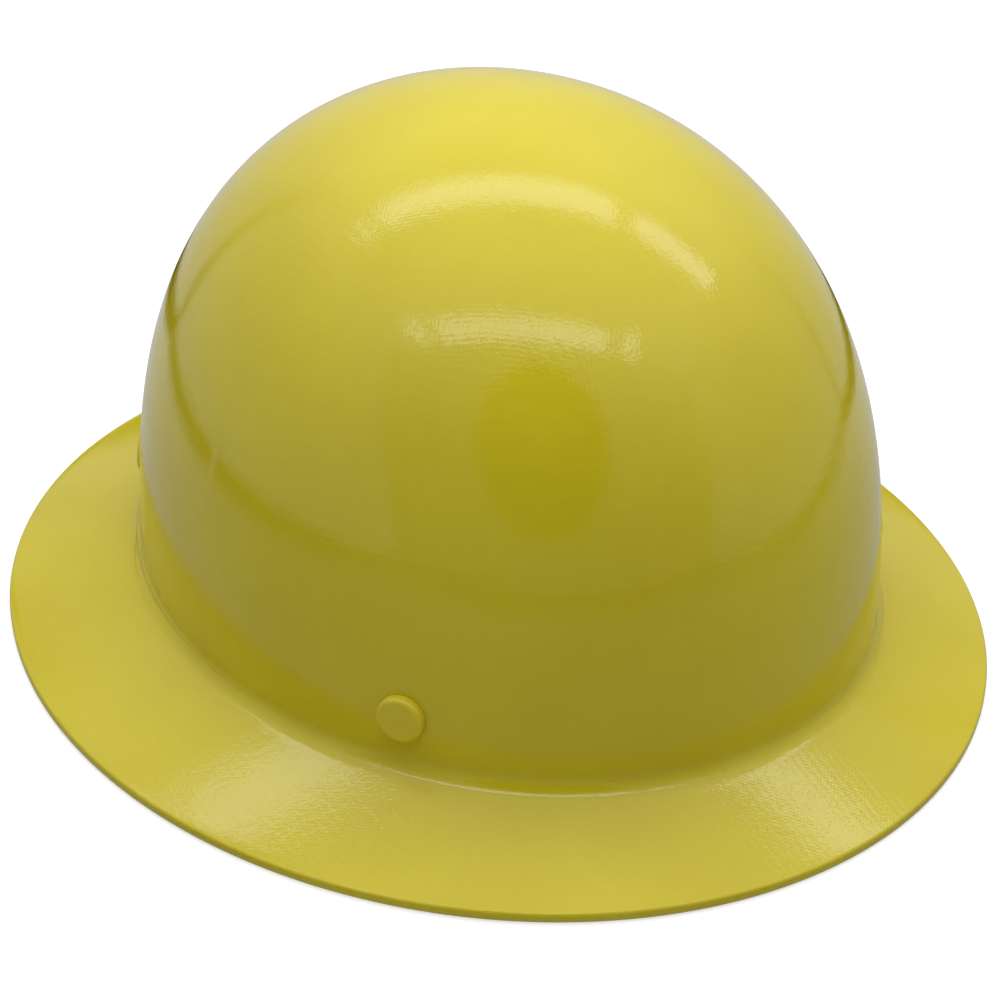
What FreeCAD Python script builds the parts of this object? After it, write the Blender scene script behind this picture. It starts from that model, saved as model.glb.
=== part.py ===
import FreeCAD, Part
import math
import os
from FreeCAD import Vector

# A full brim hard hat with its suspension. Millimetres and degrees. The hat faces -Y and stands level on its
# rim: the rim's lowest ring is z = 0, and the middle of the brim is x = y = 0. Left is the wearer's left, +X.

# Brim
brim_length = 333.0
brim_width = 295.0
brim_edge = 3.0  # depth of the rim's upright edge
brim_land = 2.6  # from the rim's outside to where the underside of the brim begins
brim_slope = 18.0  # fall of the brim where it leaves the crown
brim_rise = 14.2  # height of the brim's top beside the crown
rim_round = 1.0
round_steps = 2  # flats that stand for each rounded corner of the rim

# Crown: an oval dome whose front and rear halves have their own lengths
crown_forward = 9.7  # the crown's axis lies this far in front of the brim's middle
crown_half_width = 107.2
crown_front = 124.0
crown_rear = 134.0
crown_height = 165.0
crown_fullness = 2.78  # power of the wall's curve: 2 is round, more is squarer
crown_steps = 14
crown_fillet = 6.0
shell_wall = 2.4

# Rivets that hold the four sockets, by their heading from the front
front_heading = 49.8
rear_heading = 140.8
rivet_height = 32.1
rivet_head = 13.5
rivet_stand = 2.6
rivet_round = 1.3
rivet_seat = 0.02  # the head stands this much clear of the wall
rivet_shank = 5.0
rivet_hole_play = 0.1
washer_diameter = 9.6
washer_thickness = 0.7
clinch_diameter = 7.4
clinch_length = 1.1
washer_play = 0.4  # round the washer, in the socket's recess

# Sockets inside the shell
socket_width = 22.0
socket_depth = 8.2  # from the wall to the socket's face
socket_bottom = 28.2
socket_top = 54.0
socket_roof = 3.0
socket_flange = 2.4  # thickness of the plate against the wall
socket_seat = 1.7  # plate left under the rivet's washer
socket_gap = 0.05  # between the plate and the wall
flange_round = 10.9
socket_round = 1.6

# Keys that push up into the sockets
key_blade_width = 14.0
key_blade = 2.3
key_blade_back = 4.0  # from the wall to the back of the blade
key_play = 0.3
key_blade_reach = 20.0
key_base = 2.6
key_width = 24.0
key_plate = 2.2
key_plate_back = 10.2
key_top = 62.0
key_bar = 4.5
key_slot = 4.0
key_slot_play = 0.7
key_round = 3.0
blade_chamfer = 3.0
hanger_height = 34.0
hanger_depth = 8.0
hanger_width = 3.4
hanger_root = 12.0
stud_diameter = 4.6
stud_head = 8.0
stud_head_height = 1.3
stud_play = 0.2
stud_reach = 4.0  # length of the hanger's round end

# Webbing over the head
webbing_width = 19.0
webbing = 1.2
webbing_play = 0.1
loop_ease = 0.1  # the sewn loops are this much thicker and wider than the plain strap
loop_round = 1.1
strap_crown = 128.0
strap_cross_gap = 0.9  # between the two straps where they cross
strap_steps = 24

# Headband
band = 1.6
band_half_width = 79.0
band_front = 100.0
band_front_middle = -12.0  # where the front oval's widest line lies
band_rear_middle = 7.0  # where the rear arc has its middle
band_low = 9.0
band_high = 37.0
band_arm_low = 28.5
band_arm_high = 39.5
band_arm_end = 6.0  # the rear arms run this far past their studs
spare_hole_pitch = 6.5
band_step_gap = 1.5  # from the pivot's head to where the lower edge steps up
band_step_run = 5.0
band_rise_run = 34.0  # length over which the upper edge rises to the arm
band_bend = 4.5

# Brow pad
pad_thickness = 5.0
pad_edge = 1.6
pad_low = 7.5
pad_high = 38.5
pad_half_angle = 42.0
pad_gap = 0.1
pad_steps = 12
pad_taper_steps = 2
pad_curve = 0.01  # the ends' face curves by this much, so that every section is alike

# Nape straps with racks, and the eyes they swing on
strap = 1.4
band_gap = 0.7  # between the headband and the right strap, which lies inside the left one
strap_gap = 1.3  # between the two straps
strap_height = 15.0
rack_height = 21.4
rack_slot_reach = 24.0
rack_end_bar = 3.2
rack_taper = 12.0
rack_clear = 0.5  # from the pinion's tips to the plain side of the slot
axis_height = 16.0
eye_y = -6.0
eye_diameter = 16.0
hinge_gap = 0.4
pivot_diameter = 5.0
pivot_play = 0.08
pivot_head = 9.0
pivot_head_height = 1.3
pivot_side_play = 0.15

# Rack and pinion
gear_module = 1.5
pinion_teeth = 8
gear_play = 0.74  # taken off the thickness of every tooth
gear_top = 0.88  # height of a tooth above the pitch line, in modules
gear_root = 1.22  # depth below the pitch line, in modules
flank_angle = 22.0
rack_phase = 0.5  # the racks are set back by half of what their swing adds
tooth_sink = 1.0  # how far a rack's tooth runs into its bar
root_width = 0.35  # share of the flank's lean that the pinion's root keeps
pinion_bore = 2.4
pinion_play = 0.2  # from the teeth to the cover
pinion_end_play = 0.7  # from the teeth to the case, whose wall curves in beside the axis

# Ratchet case
case_half_width = 27.0
case_height = 28.0
case_wall = 1.8
cover = 1.6
strap_play = 0.75
case_pad_diameter = 28.6
case_pad_stand = 0.35
case_bore = 9.0
shaft_play = 0.08
click_ring_outer = 12.9
click_ring_inner = 11.3
click_ring_height = 2.6
click_teeth = 24
click_tooth = 0.8
cover_hole = 8.4
case_round = 1.2
cover_round = 0.8
cover_gap = 0.02
click_foot = 0.7  # half width of a click tooth's foot, in shares of their pitch
pilot_back = 0.2  # the pinion's pilot stops this far inside the cover's face

# Knob
knob_diameter = 27.6
knob_depth = 10.4
knob_gap = 0.3
knob_skirt_inner = 13.25
knob_cup = 3.4
knob_grips = 12
knob_grip_depth = 1.1
knob_grip_radius = 2.4
knob_hub = 12.0
knob_face_round = 1.5
drive_square = 4.6
drive_play = 0.05
drive_depth = 6.3
drive_end_play = 0.2
knob_grip_start = 0.8  # from the cup's floor to where the grips begin
knob_web = 2.0  # plastic left over the screw's tip
spring_height = 1.9
spring_gap = 0.2
spring_press = 0.05
spring_collar = 1.1
spring_arm = 0.9
spring_root = 1.6
spring_root_drop = 2.0  # the root lies this far before the arm's level line
spring_tip = 1.0
spring_tip_gap = 0.15
screw_shank = 2.2
screw_head = 5.4
screw_head_height = 1.5
screw_tip_gap = 0.2  # the screw stops this far before the end of its hole in the knob
screw_fit = 0.02
screw_drive = 2.0
screw_drive_half = 0.3
screw_drive_depth = 0.9

# What follows from these sizes
crown_y = -crown_forward
slope = math.radians(brim_slope)
key_bottom = socket_bottom - key_play - key_base
slot_back = key_blade_back - key_play
slot_front = key_blade_back + key_blade + key_play
pinion_radius = gear_module * pinion_teeth / 2
tooth_pitch = math.pi * gear_module
tooth_top = gear_top * gear_module
tooth_root = gear_root * gear_module
rear_y = band_rear_middle
right_strap_radius = band_half_width + band / 2 + band_gap + strap / 2
left_strap_radius = right_strap_radius + strap + strap_gap
channel_outer = left_strap_radius + strap / 2 + strap_play
channel_inner = right_strap_radius - strap / 2 - strap_play
case_outer = channel_outer + case_wall
case_low = axis_height - case_height / 2
case_high = axis_height + case_height / 2
pad_face = case_outer + case_pad_stand
knob_back = pad_face + knob_gap
knob_face = knob_back + knob_depth
far = 400.0
reach_past = 40.0  # length of a cut that only has to clear the piece
overlap = 0.1  # how far joined shapes run into each other
up = Vector(0, 0, 1)
middle = Vector(0, 0, 0)


def save(name, shape):
    """Write one piece, and print its volume."""
    assert shape.isValid(), name
    shape.exportStep("parts/" + name + ".step")
    print(name, len(shape.Solids), "solid(s)", round(shape.Volume / 1000, 3), "cm3")


def mirrored(shape):
    """The same piece on the other side of the hat."""
    return shape.mirror(middle, Vector(1, 0, 0))


def fused(shapes):
    """One shape from many that touch or overlap."""
    return shapes[0].fuse(shapes[1:])


def box(x0, x1, y0, y1, z0, z1):
    """A block between two corners."""
    return Part.makeBox(x1 - x0, y1 - y0, z1 - z0, Vector(x0, y0, z0))


def prism(points, along):
    """A straight-sided outline carried along a vector."""
    return Part.Face(Part.makePolygon(points + points[:1])).extrude(along)


def scaled(shape, x, y, z):
    """Stretch a shape along the axes."""
    matrix = FreeCAD.Matrix()
    matrix.scale(x, y, z)
    return shape.transformGeometry(matrix)


def oval(half_width, front, rear, centre_y, height):
    """Closed outline of two half ellipses that meet on the line y = centre_y."""
    halves = []
    for reach, start in ((rear, 0), (front, 180)):
        half = Part.makeCircle(1, middle, up, start, start + 180)
        half = scaled(half, half_width, reach, 1)
        half.translate(Vector(0, centre_y, height))
        halves.append(half)
    return Part.Wire(halves)


def arc_through(start, centre, angle_from, angle_to, radius):
    """Arc in the X-Z plane about a centre, between two angles."""
    points = [start]
    for angle in ((angle_from + angle_to) / 2, angle_to):
        points.append(centre + Vector(math.cos(angle), 0, math.sin(angle)) * radius)
    return Part.Arc(*points).toShape(), points[-1]


def crown_radius(height, inset):
    """Half width of the crown at a height, on a surface that lies inset inside the outer one."""
    share = height / (crown_height - inset)
    return (crown_half_width - inset) * math.sqrt(1 - share**crown_fullness)


def crown_fall(height, inset):
    """How fast that half width changes with height."""
    top = crown_height - inset
    share = height / top
    steep = crown_fullness / 2 * share ** (crown_fullness - 1) / top
    return -(crown_half_width - inset) * steep / math.sqrt(1 - share**crown_fullness)


def crown_profile(inset):
    """Side outline of the crown with its fillet, down to the height where the brim begins."""
    foot_height = brim_rise - inset * math.cos(slope)
    radius = crown_fillet + inset
    height = foot_height + radius * math.cos(slope)
    fall = crown_fall(height, inset)
    outward = Vector(1, 0, -fall).normalize()
    wall_point = Vector(crown_radius(height, inset), 0, height)
    centre = wall_point + outward * radius
    wall_angle = math.atan2(-outward.z, -outward.x) + 2 * math.pi
    foot_angle = 1.5 * math.pi - slope
    fillet, foot = arc_through(wall_point, centre, wall_angle, foot_angle, radius)
    top = crown_height - inset
    start = math.asin((height / top) ** (crown_fullness / 2))
    points = []
    for step in range(crown_steps + 1):
        angle = start + (math.pi / 2 - start) * step / crown_steps
        reach = (crown_half_width - inset) * math.cos(angle)
        points.append(Vector(reach, 0, top * math.sin(angle) ** (2 / crown_fullness)))
    points[-1] = Vector(0, 0, top)
    wall_curve = Part.BSplineCurve()
    wall_curve.interpolate(Points=points, InitialTangent=Vector(fall, 0, 1).normalize(),
                           FinalTangent=Vector(-1, 0, 0))
    base = Vector(0, 0, foot.z)
    edges = [wall_curve.toShape(), Part.makeLine(points[-1], base), Part.makeLine(base, foot), fillet]
    return Part.Face(Part.Wire(Part.__sortEdges__(edges))), foot


def crown_body(inset):
    """Solid dome, open to nothing, from the brim's height up, and the half width of its foot."""
    profile, foot = crown_profile(inset)
    half = profile.revolve(middle, up, 180)
    rear = scaled(half, 1, (crown_rear - inset) / (crown_half_width - inset), 1)
    front = scaled(half.mirror(middle, Vector(0, 1, 0)), 1, (crown_front - inset) / (crown_half_width - inset), 1)
    for body in (rear, front):
        body.translate(Vector(0, crown_y, 0))
    return rear, front, foot


def crown_ring(inset, foot):
    """The oval that the crown's foot stands on, as half width, front, rear, middle and height."""
    front = (crown_front - inset) / (crown_half_width - inset)
    rear = (crown_rear - inset) / (crown_half_width - inset)
    return foot.x, foot.x * front, foot.x * rear, crown_y, foot.z


def between(first, second, share):
    """An oval on the straight-ruled surface through two ovals."""
    return [a + (b - a) * share for a, b in zip(first, second)]


def rim_profile():
    """Rounded edge of the brim, as (inset, height) pairs from its underside to its top."""
    quarter = math.pi / 2
    centre = brim_edge - rim_round * math.tan((quarter - slope) / 2)
    points = []
    for step in range(round_steps + 1):
        turn = quarter * (1 - step / round_steps)
        points.append((rim_round * (1 - math.cos(turn)), rim_round * (1 - math.sin(turn))))
    for step in range(round_steps + 1):
        turn = (quarter - slope) * step / round_steps
        points.append((rim_round * (1 - math.cos(turn)), centre + rim_round * math.sin(turn)))
    return points


def brim_oval(inset, height):
    """The brim's outline, made smaller by an inset."""
    half_length = brim_length / 2 - inset
    return oval(brim_width / 2 - inset, half_length, half_length, 0, height)


def outer_body():
    """The hat's outside as one solid: crown, fillet and the top of the brim."""
    rear, front, foot = crown_body(0)
    outlines = [brim_oval(inset, height) for inset, height in rim_profile()]
    outlines.append(oval(*crown_ring(0, foot)))
    return fused([rear, front, Part.makeLoft(outlines, True, True)])


def inner_body():
    """The space under the shell as one solid, reaching a little below the rim."""
    rear, front, foot = crown_body(shell_wall)
    ring = crown_ring(shell_wall, foot)
    half_length = brim_length / 2 - brim_land
    land = (brim_width / 2 - brim_land, half_length, half_length, 0, 0)
    below = between(ring, land, 1.2)
    block = Part.makeLoft([oval(*below), oval(*ring)], True, True)
    return fused([rear, front, block])


def cavity(inset):
    """The crown's inside only, as a solid that trims what sits against the wall."""
    rear, front, foot = crown_body(inset)
    return rear.fuse(front)


def wall_place(heading):
    """Point on the outer wall at the rivets' height, with its true and its level outward directions."""
    turn = math.radians(heading)
    across = math.sin(turn)
    along = -math.cos(turn)
    reach = crown_front if along < 0 else crown_rear
    share = (rivet_height / crown_height) ** crown_fullness
    radius = math.sqrt((1 - share) / ((across / crown_half_width) ** 2 + (along / reach) ** 2))
    point = Vector(across * radius, crown_y + along * radius, rivet_height)
    rise = crown_fullness * share / rivet_height
    true = Vector(2 * across * radius / crown_half_width**2, 2 * along * radius / reach**2, rise)
    level = Vector(true.x, true.y, 0)
    return point, true.normalize(), level.normalize()


def local(shape, origin, inward):
    """Place a shape drawn with X sideways, Y towards the head and Z up."""
    sideways = inward.cross(up)
    shape = shape.copy()
    shape.Placement = FreeCAD.Placement(origin, FreeCAD.Rotation(sideways, inward, up, "ZYX"))
    return shape


def band_prism(offset, low, high):
    """Solid inside the headband's outline, made larger by an offset."""
    half = band_half_width + offset
    front = Part.makeCircle(1, middle, up, 180, 360)
    front = scaled(front, half, band_front + offset, 1)
    front.translate(Vector(0, band_front_middle, low))
    rear = Part.makeCircle(half, Vector(0, rear_y, low), up, 0, 180)
    sides = [Part.makeLine(Vector(side * half, band_front_middle, low), Vector(side * half, rear_y, low))
             for side in (1, -1)]
    outline = Part.Wire(Part.__sortEdges__([front, rear] + sides))
    return Part.Face(outline).extrude(up * (high - low))


def ring_sector(inner, outer, start, end, low, high):
    """Upright piece of a ring about the rear arc's middle, between two angles from +X."""
    points = []
    for radius in (inner, outer):
        for angle in (start, (start + end) / 2, end):
            turn = math.radians(angle)
            points.append(Vector(radius * math.cos(turn), rear_y + radius * math.sin(turn), low))
    edges = [Part.Arc(*points[:3]).toShape(), Part.makeLine(points[2], points[5]),
             Part.Arc(*points[3:]).toShape(), Part.makeLine(points[3], points[0])]
    return Part.Face(Part.Wire(Part.__sortEdges__(edges))).extrude(up * (high - low))


def disc(centre, axis, radius, length):
    """Cylinder that starts at a point."""
    return Part.makeCylinder(radius, length, centre, axis)


def turned(edges, centre, axis):
    """Turned piece: an outline in the X-Z plane, spun about Z and set on an axis."""
    solid = Part.Face(Part.Wire(Part.__sortEdges__(edges))).revolve(middle, up, 360)
    solid.Placement = FreeCAD.Placement(centre, FreeCAD.Rotation(up, axis))
    return solid


def rivet(point, outward):
    """Button rivet: rounded head outside, shank through the wall, clinched over a washer inside."""
    radius = rivet_head / 2
    top = Vector(0, 0, rivet_stand)
    face_edge = Vector(radius - rivet_round, 0, rivet_stand)
    corner, side = arc_through(face_edge, face_edge - up * rivet_round, math.pi / 2, 0, rivet_round)
    inner_end = -(shell_wall + socket_seat + washer_thickness)
    points = [side, Vector(radius, 0, rivet_seat), Vector(rivet_shank / 2, 0, rivet_seat),
              Vector(rivet_shank / 2, 0, inner_end), Vector(clinch_diameter / 2, 0, inner_end),
              Vector(clinch_diameter / 4, 0, inner_end - clinch_length), Vector(0, 0, inner_end - clinch_length), top,
              face_edge]
    edges = [Part.makeLine(a, b) for a, b in zip(points, points[1:])] + [corner]
    return turned(edges, point, outward)


def washer(point, outward):
    """Ring under the rivet's clinched end."""
    start = point - outward * (shell_wall + socket_seat + washer_thickness)
    ring = disc(start, outward, washer_diameter / 2, washer_thickness)
    return ring.cut(disc(start - outward, outward, rivet_shank / 2 + rivet_hole_play / 2, reach_past))


def socket(origin, inward, point, outward, trim):
    """Socket: a plate riveted to the wall, with an upright pocket in front of it that is open at the bottom."""
    half = socket_width / 2
    back = -socket_depth / 2
    plate = box(-half, half, back, socket_flange, rivet_height, socket_top)
    foot = disc(Vector(0, back, rivet_height), Vector(0, 1, 0), flange_round, socket_flange - back)
    foot = foot.common(box(-half, half, back, socket_flange, 0, rivet_height))
    front = box(-half, half, socket_flange, socket_depth, socket_bottom, socket_top)
    corner_edges = [edge for edge in front.Edges
                    if edge.BoundBox.YMin > socket_depth - 0.01 and edge.BoundBox.ZMax > socket_top - 0.01]
    body = fused([plate, foot, front.makeFillet(socket_round, corner_edges)])
    slot_half = key_blade_width / 2 + key_play
    body = body.cut(box(-slot_half, slot_half, slot_back, slot_front, 0, socket_top - socket_roof))
    body = local(body, origin, inward).common(trim)
    seat = point - outward * (shell_wall + socket_seat)
    body = body.cut(disc(point, -outward, rivet_shank / 2 + rivet_hole_play, reach_past))
    body = body.cut(disc(seat, -outward, washer_diameter / 2 + washer_play, reach_past))
    return body.removeSplitter()


def hanger_length(origin, inward):
    """Distance from the wall to the headband's middle line, level along the key's own direction."""
    if origin.y < band_front_middle:
        centre_y, reach = band_front_middle, band_front
    else:
        centre_y, reach = rear_y, band_half_width
    y = origin.y - centre_y
    a = (inward.x / band_half_width) ** 2 + (inward.y / reach) ** 2
    b = 2 * (origin.x * inward.x / band_half_width**2 + y * inward.y / reach**2)
    c = (origin.x / band_half_width) ** 2 + (y / reach) ** 2 - 1
    return (-b - math.sqrt(b * b - 4 * a * c)) / (2 * a)


def key(origin, inward):
    """Key: blade, base and slotted plate for the webbing, with a hanger and stud for the headband."""
    half = key_width / 2
    plate_front = key_plate_back + key_plate
    blade_top = socket_bottom + key_blade_reach
    blade_half = key_blade_width / 2
    shoulder = blade_top - blade_chamfer
    tip_half = blade_half - blade_chamfer
    blade_outline = [(-blade_half, key_bottom), (blade_half, key_bottom), (blade_half, shoulder),
                     (tip_half, blade_top), (-tip_half, blade_top), (-blade_half, shoulder)]
    blade = prism([Vector(x, key_blade_back, z) for x, z in blade_outline], Vector(0, key_blade, 0))
    base = box(-blade_half, blade_half, key_blade_back, plate_front, key_bottom, key_bottom + key_base)
    plate = box(-half, half, key_plate_back, plate_front, key_bottom, key_top)
    corners = [edge for edge in plate.Edges
               if edge.BoundBox.YLength > key_plate - 0.01 and edge.BoundBox.XLength < 0.01]
    plate = plate.makeFillet(key_round, corners)
    slot_top = key_top - key_bar
    slot_half = webbing_width / 2 + key_slot_play
    plate = plate.cut(box(-slot_half, slot_half, key_plate_back - 1, plate_front + 1, slot_top - key_slot, slot_top))
    length = hanger_length(origin, inward)
    hanger_outline = [(plate_front, hanger_height - hanger_root / 2), (length, hanger_height - hanger_depth / 2),
                      (length, hanger_height + hanger_depth / 2), (plate_front, hanger_height + hanger_root / 2)]
    hanger = prism([Vector(-hanger_width / 2, y, z) for y, z in hanger_outline], Vector(hanger_width, 0, 0))
    along = Vector(0, 1, 0)
    stud_foot = Vector(0, length - stud_reach, hanger_height)
    flange = disc(stud_foot, along, stud_head / 2, stud_reach)
    stud = disc(stud_foot, along, stud_diameter / 2, 2 * stud_reach)
    head = disc(stud_foot, along, stud_head / 2, 2 * stud_reach)
    outside = band_prism(band / 2 + pad_gap, 0, key_top)
    inside = band_prism(-band / 2 - pad_gap, 0, key_top)
    inmost = band_prism(-band / 2 - pad_gap - stud_head_height, 0, key_top)
    bracket = local(fused([blade, base, plate, hanger, flange]), origin, inward).cut(outside)
    stem = local(stud, origin, inward).cut(inmost)
    cap = local(head, origin, inward).common(inside).cut(inmost)
    return fused([bracket, stem, cap]).removeSplitter()


def webbing_loop(origin, inward):
    """The turn of webbing round the bar of a key, as a closed band."""
    plate_front = key_plate_back + key_plate
    half = (webbing_width + loop_ease) / 2
    bar_low = key_top - key_bar
    inner = box(-half, half, key_plate_back - webbing_play, plate_front + webbing_play,
                bar_low - webbing_play, key_top + webbing_play)
    reach = webbing_play + webbing + loop_ease
    outer = box(-half, half, key_plate_back - reach, plate_front + reach, bar_low - reach, key_top + reach)
    across = [edge for edge in outer.Edges if edge.BoundBox.XLength > webbing_width - 0.01]
    outer = outer.makeFillet(loop_round, across)
    return local(outer.cut(inner), origin, inward)


def crown_strap(first, second, top):
    """Webbing that arches from one key to the opposite one and turns from facing one to facing the other."""
    ends = []
    for origin, inward in (first, second):
        depth = key_plate_back + key_plate + webbing_play + (webbing + loop_ease) / 2
        ends.append((origin + inward * depth, inward))
    start_height = key_top - key_bar / 2
    centre = (ends[0][0] + ends[1][0]) / 2
    reach = (ends[0][0] - ends[1][0]) / 2
    reach.z = 0
    level = reach.normalize()
    span = (ends[0][0] - ends[1][0]).Length / 2
    facing = [math.atan2(-ends[0][1].y, -ends[0][1].x), math.atan2(ends[1][1].y, ends[1][1].x)]
    flat = math.atan2(level.y, level.x)
    rise = top - start_height
    sections = []
    for step in range(strap_steps + 1):
        turn = math.pi * step / strap_steps
        place = Vector(centre.x, centre.y, start_height)
        place = place + level * (span * math.cos(turn)) + up * (rise * math.sin(turn))
        tangent = (level * (-span * math.sin(turn)) + up * (rise * math.cos(turn))).normalize()
        near = facing[0] if math.cos(turn) > 0 else facing[1]
        near = flat + (near - flat + math.pi) % (2 * math.pi) - math.pi
        hold = max(0.0, abs(math.cos(turn)) * 2 - 1)
        heading = flat + (near - flat) * hold * hold * (3 - 2 * hold)
        side = Vector(-math.sin(heading), math.cos(heading), 0)
        through = tangent.cross(side).normalize()
        corners = [side * (a * webbing_width / 2) + through * (b * webbing / 2)
                   for a, b in ((1, 1), (-1, 1), (-1, -1), (1, -1))]
        corners = [place + corner for corner in corners]
        sections.append(Part.makePolygon(corners + corners[:1]))
    arch = Part.makeLoft(sections, True, True)
    return fused([arch] + [webbing_loop(origin, inward) for origin, inward in (first, second)])


def headband(places):
    """Headband: one strip round the brow, with raised arms that run back to the rear keys."""
    body = band_prism(band / 2, 0, key_top).cut(band_prism(-band / 2, -1, key_top + 1))
    step_start = eye_y + pivot_head / 2 + band_step_gap
    outline = [(-far, band_low), (step_start, band_low), (step_start + band_step_run, band_arm_low),
               (far, band_arm_low), (far, band_arm_high), (step_start, band_arm_high),
               (step_start - band_rise_run, band_high), (-far, band_high)]
    side = prism([Vector(-far, y, z) for y, z in outline], Vector(2 * far, 0, 0))
    bends = [edge for edge in side.Edges
             if edge.BoundBox.XLength > far and abs(edge.BoundBox.YMin) < far - 1]
    side = side.makeFillet(band_bend, bends)
    body = body.common(side)
    rear_origin, rear_inward = places["rear_left"]
    stud_place = rear_origin + rear_inward * hanger_length(rear_origin, rear_inward)
    end_angle = math.atan2(stud_place.y - rear_y, stud_place.x) + band_arm_end / band_half_width
    gap = prism([Vector(0, rear_y, -1), Vector(far * math.cos(end_angle), rear_y + far * math.sin(end_angle), -1),
                 Vector(-far * math.cos(end_angle), rear_y + far * math.sin(end_angle), -1)], up * key_top)
    body = body.cut(gap)
    hole = stud_diameter / 2 + stud_play
    for name, (origin, inward) in places.items():
        heights = [hanger_height]
        if name.startswith("front"):
            heights += [hanger_height - spare_hole_pitch, hanger_height - 2 * spare_hole_pitch]
        length = hanger_length(origin, inward)
        for height in heights:
            start = origin + inward * (length - stud_reach)
            start.z = height
            body = body.cut(disc(start, inward, hole, 2 * stud_reach))
    pivot = pivot_diameter / 2 + pivot_play / 2
    return body.cut(disc(Vector(-far, eye_y, axis_height), Vector(1, 0, 0), pivot, 2 * far)).removeSplitter()


def brow_pad():
    """Padded strip inside the brow: flat against the headband, crowned towards the head."""
    sections = []
    offset = band / 2 + pad_gap
    for step in range(pad_steps + 1):
        turn = math.radians(-90 - pad_half_angle + 2 * pad_half_angle * step / pad_steps)
        a = band_half_width - offset
        b = band_front - offset
        back = Vector(a * math.cos(turn), band_front_middle + b * math.sin(turn), 0)
        inward = Vector(-math.cos(turn) / a, -math.sin(turn) / b, 0).normalize()
        ends = min(step, pad_steps - step) / pad_taper_steps
        thickness = pad_edge + (pad_thickness - pad_edge) * min(1.0, ends)
        middle_height = (pad_low + pad_high) / 2
        points = [back + up * pad_low, back + inward * pad_edge + up * pad_low,
                  back + inward * thickness + up * middle_height,
                  back + inward * pad_edge + up * pad_high, back + up * pad_high]
        face_curve = Part.Arc(points[1], points[2] + inward * pad_curve, points[3]).toShape()
        edges = [Part.makeLine(points[0], points[1]), face_curve, Part.makeLine(points[3], points[4]),
                 Part.makeLine(points[4], points[0])]
        sections.append(Part.Wire(edges))
    return Part.makeLoft(sections, True, False)


def eye(radius):
    """Eye of a nape strap: a disc on the pivot stud, with a tongue back to the living hinge."""
    inner = radius - strap / 2
    along = Vector(1, 0, 0)
    ring = disc(Vector(inner, eye_y, axis_height), along, eye_diameter / 2, strap)
    tongue = box(inner, inner + strap, eye_y, rear_y - hinge_gap / 2,
                 axis_height - strap_height / 2, axis_height + strap_height / 2)
    hole = disc(Vector(0, eye_y, axis_height), along, pivot_diameter / 2 + pivot_play, far)
    return ring.fuse(tongue).cut(hole).removeSplitter()


def pivot_stud(radius):
    """Stud through the headband that an eye swings on, with a collar that fills the space between."""
    along = Vector(1, 0, 0)
    band_outer = band_half_width + band / 2
    band_inner = band_half_width - band / 2
    eye_inner = radius - strap / 2
    eye_outer = radius + strap / 2
    x0 = band_inner - pivot_head_height
    pieces = [disc(Vector(x0, eye_y, axis_height), along, pivot_head / 2, pivot_head_height),
              disc(Vector(x0, eye_y, axis_height), along, pivot_diameter / 2, eye_outer + pivot_side_play - x0),
              disc(Vector(band_outer, eye_y, axis_height), along, pivot_head / 2,
                   eye_inner - pivot_side_play - band_outer),
              disc(Vector(eye_outer + pivot_side_play, eye_y, axis_height), along, pivot_head / 2,
                   pivot_head_height)]
    return fused(pieces).removeSplitter()


def rack_tooth(position, radius, side):
    """One tooth of a rack, as a wedge through the strap. side is 1 for teeth that point down from the top bar."""
    thickness = tooth_pitch / 2 - gear_play
    lean = math.tan(math.radians(flank_angle))
    tip = thickness / 2 - tooth_top * lean
    root = thickness / 2 + (tooth_root + tooth_sink) * lean
    low = axis_height + side * (pinion_radius - tooth_top)
    high = axis_height + side * (pinion_radius + tooth_root + tooth_sink)
    corners = [(-tip, low), (tip, low), (root, high), (-root, high)]
    solid = prism([Vector(x, rear_y + radius - 2 * strap, z) for x, z in corners], Vector(0, 4 * strap, 0))
    solid.rotate(Vector(0, rear_y, 0), up, -math.degrees(position / radius))
    return solid


def nape_strap(radius, side):
    """Left-hand nape strap: from its hinge round to the nape, ending in a slotted rack."""
    inner = radius - strap / 2
    outer = radius + strap / 2
    gap_angle = math.degrees(hinge_gap / 2 / radius)
    low = axis_height - strap_height / 2
    high = axis_height + strap_height / 2
    reach = rack_slot_reach + rack_end_bar
    plain_end = 90 - math.degrees((reach + rack_taper) / radius)
    rack_start = 90 - math.degrees(reach / radius)
    rack_end = 90 + math.degrees(reach / radius)
    half_rack = rack_height / 2
    plain = ring_sector(inner, outer, gap_angle, rack_start + 1, low, high)
    rack = ring_sector(inner, outer, plain_end, rack_end, axis_height - half_rack, axis_height + half_rack)
    taper_x = radius * math.sin(math.radians(90 - plain_end))
    rack_x = radius * math.sin(math.radians(90 - rack_start))
    for way in (1, -1):
        beside = axis_height + way * strap_height / 2
        past = axis_height + way * rack_height
        corners = [(far, beside), (taper_x, beside), (rack_x, axis_height + way * half_rack), (rack_x, past),
                   (far, past)]
        rack = rack.cut(prism([Vector(x, 0, z) for x, z in corners], Vector(0, far, 0)))
    body = plain.fuse(rack)
    slot_angle = math.degrees(rack_slot_reach / radius)
    tooth_side = pinion_radius + tooth_root
    clear_side = pinion_radius + tooth_top + rack_clear
    low_side = clear_side if side > 0 else tooth_side
    high_side = tooth_side if side > 0 else clear_side
    slot = ring_sector(inner - strap, outer + strap, 90 - slot_angle, 90 + slot_angle,
                       axis_height - low_side, axis_height + high_side)
    count = int(rack_slot_reach / tooth_pitch)
    phase = tooth_pitch / 2 - rack_phase
    teeth = [rack_tooth(phase + number * tooth_pitch, radius, side) for number in range(-count, count)]
    return body.cut(slot.cut(fused(teeth))).removeSplitter()


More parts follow.
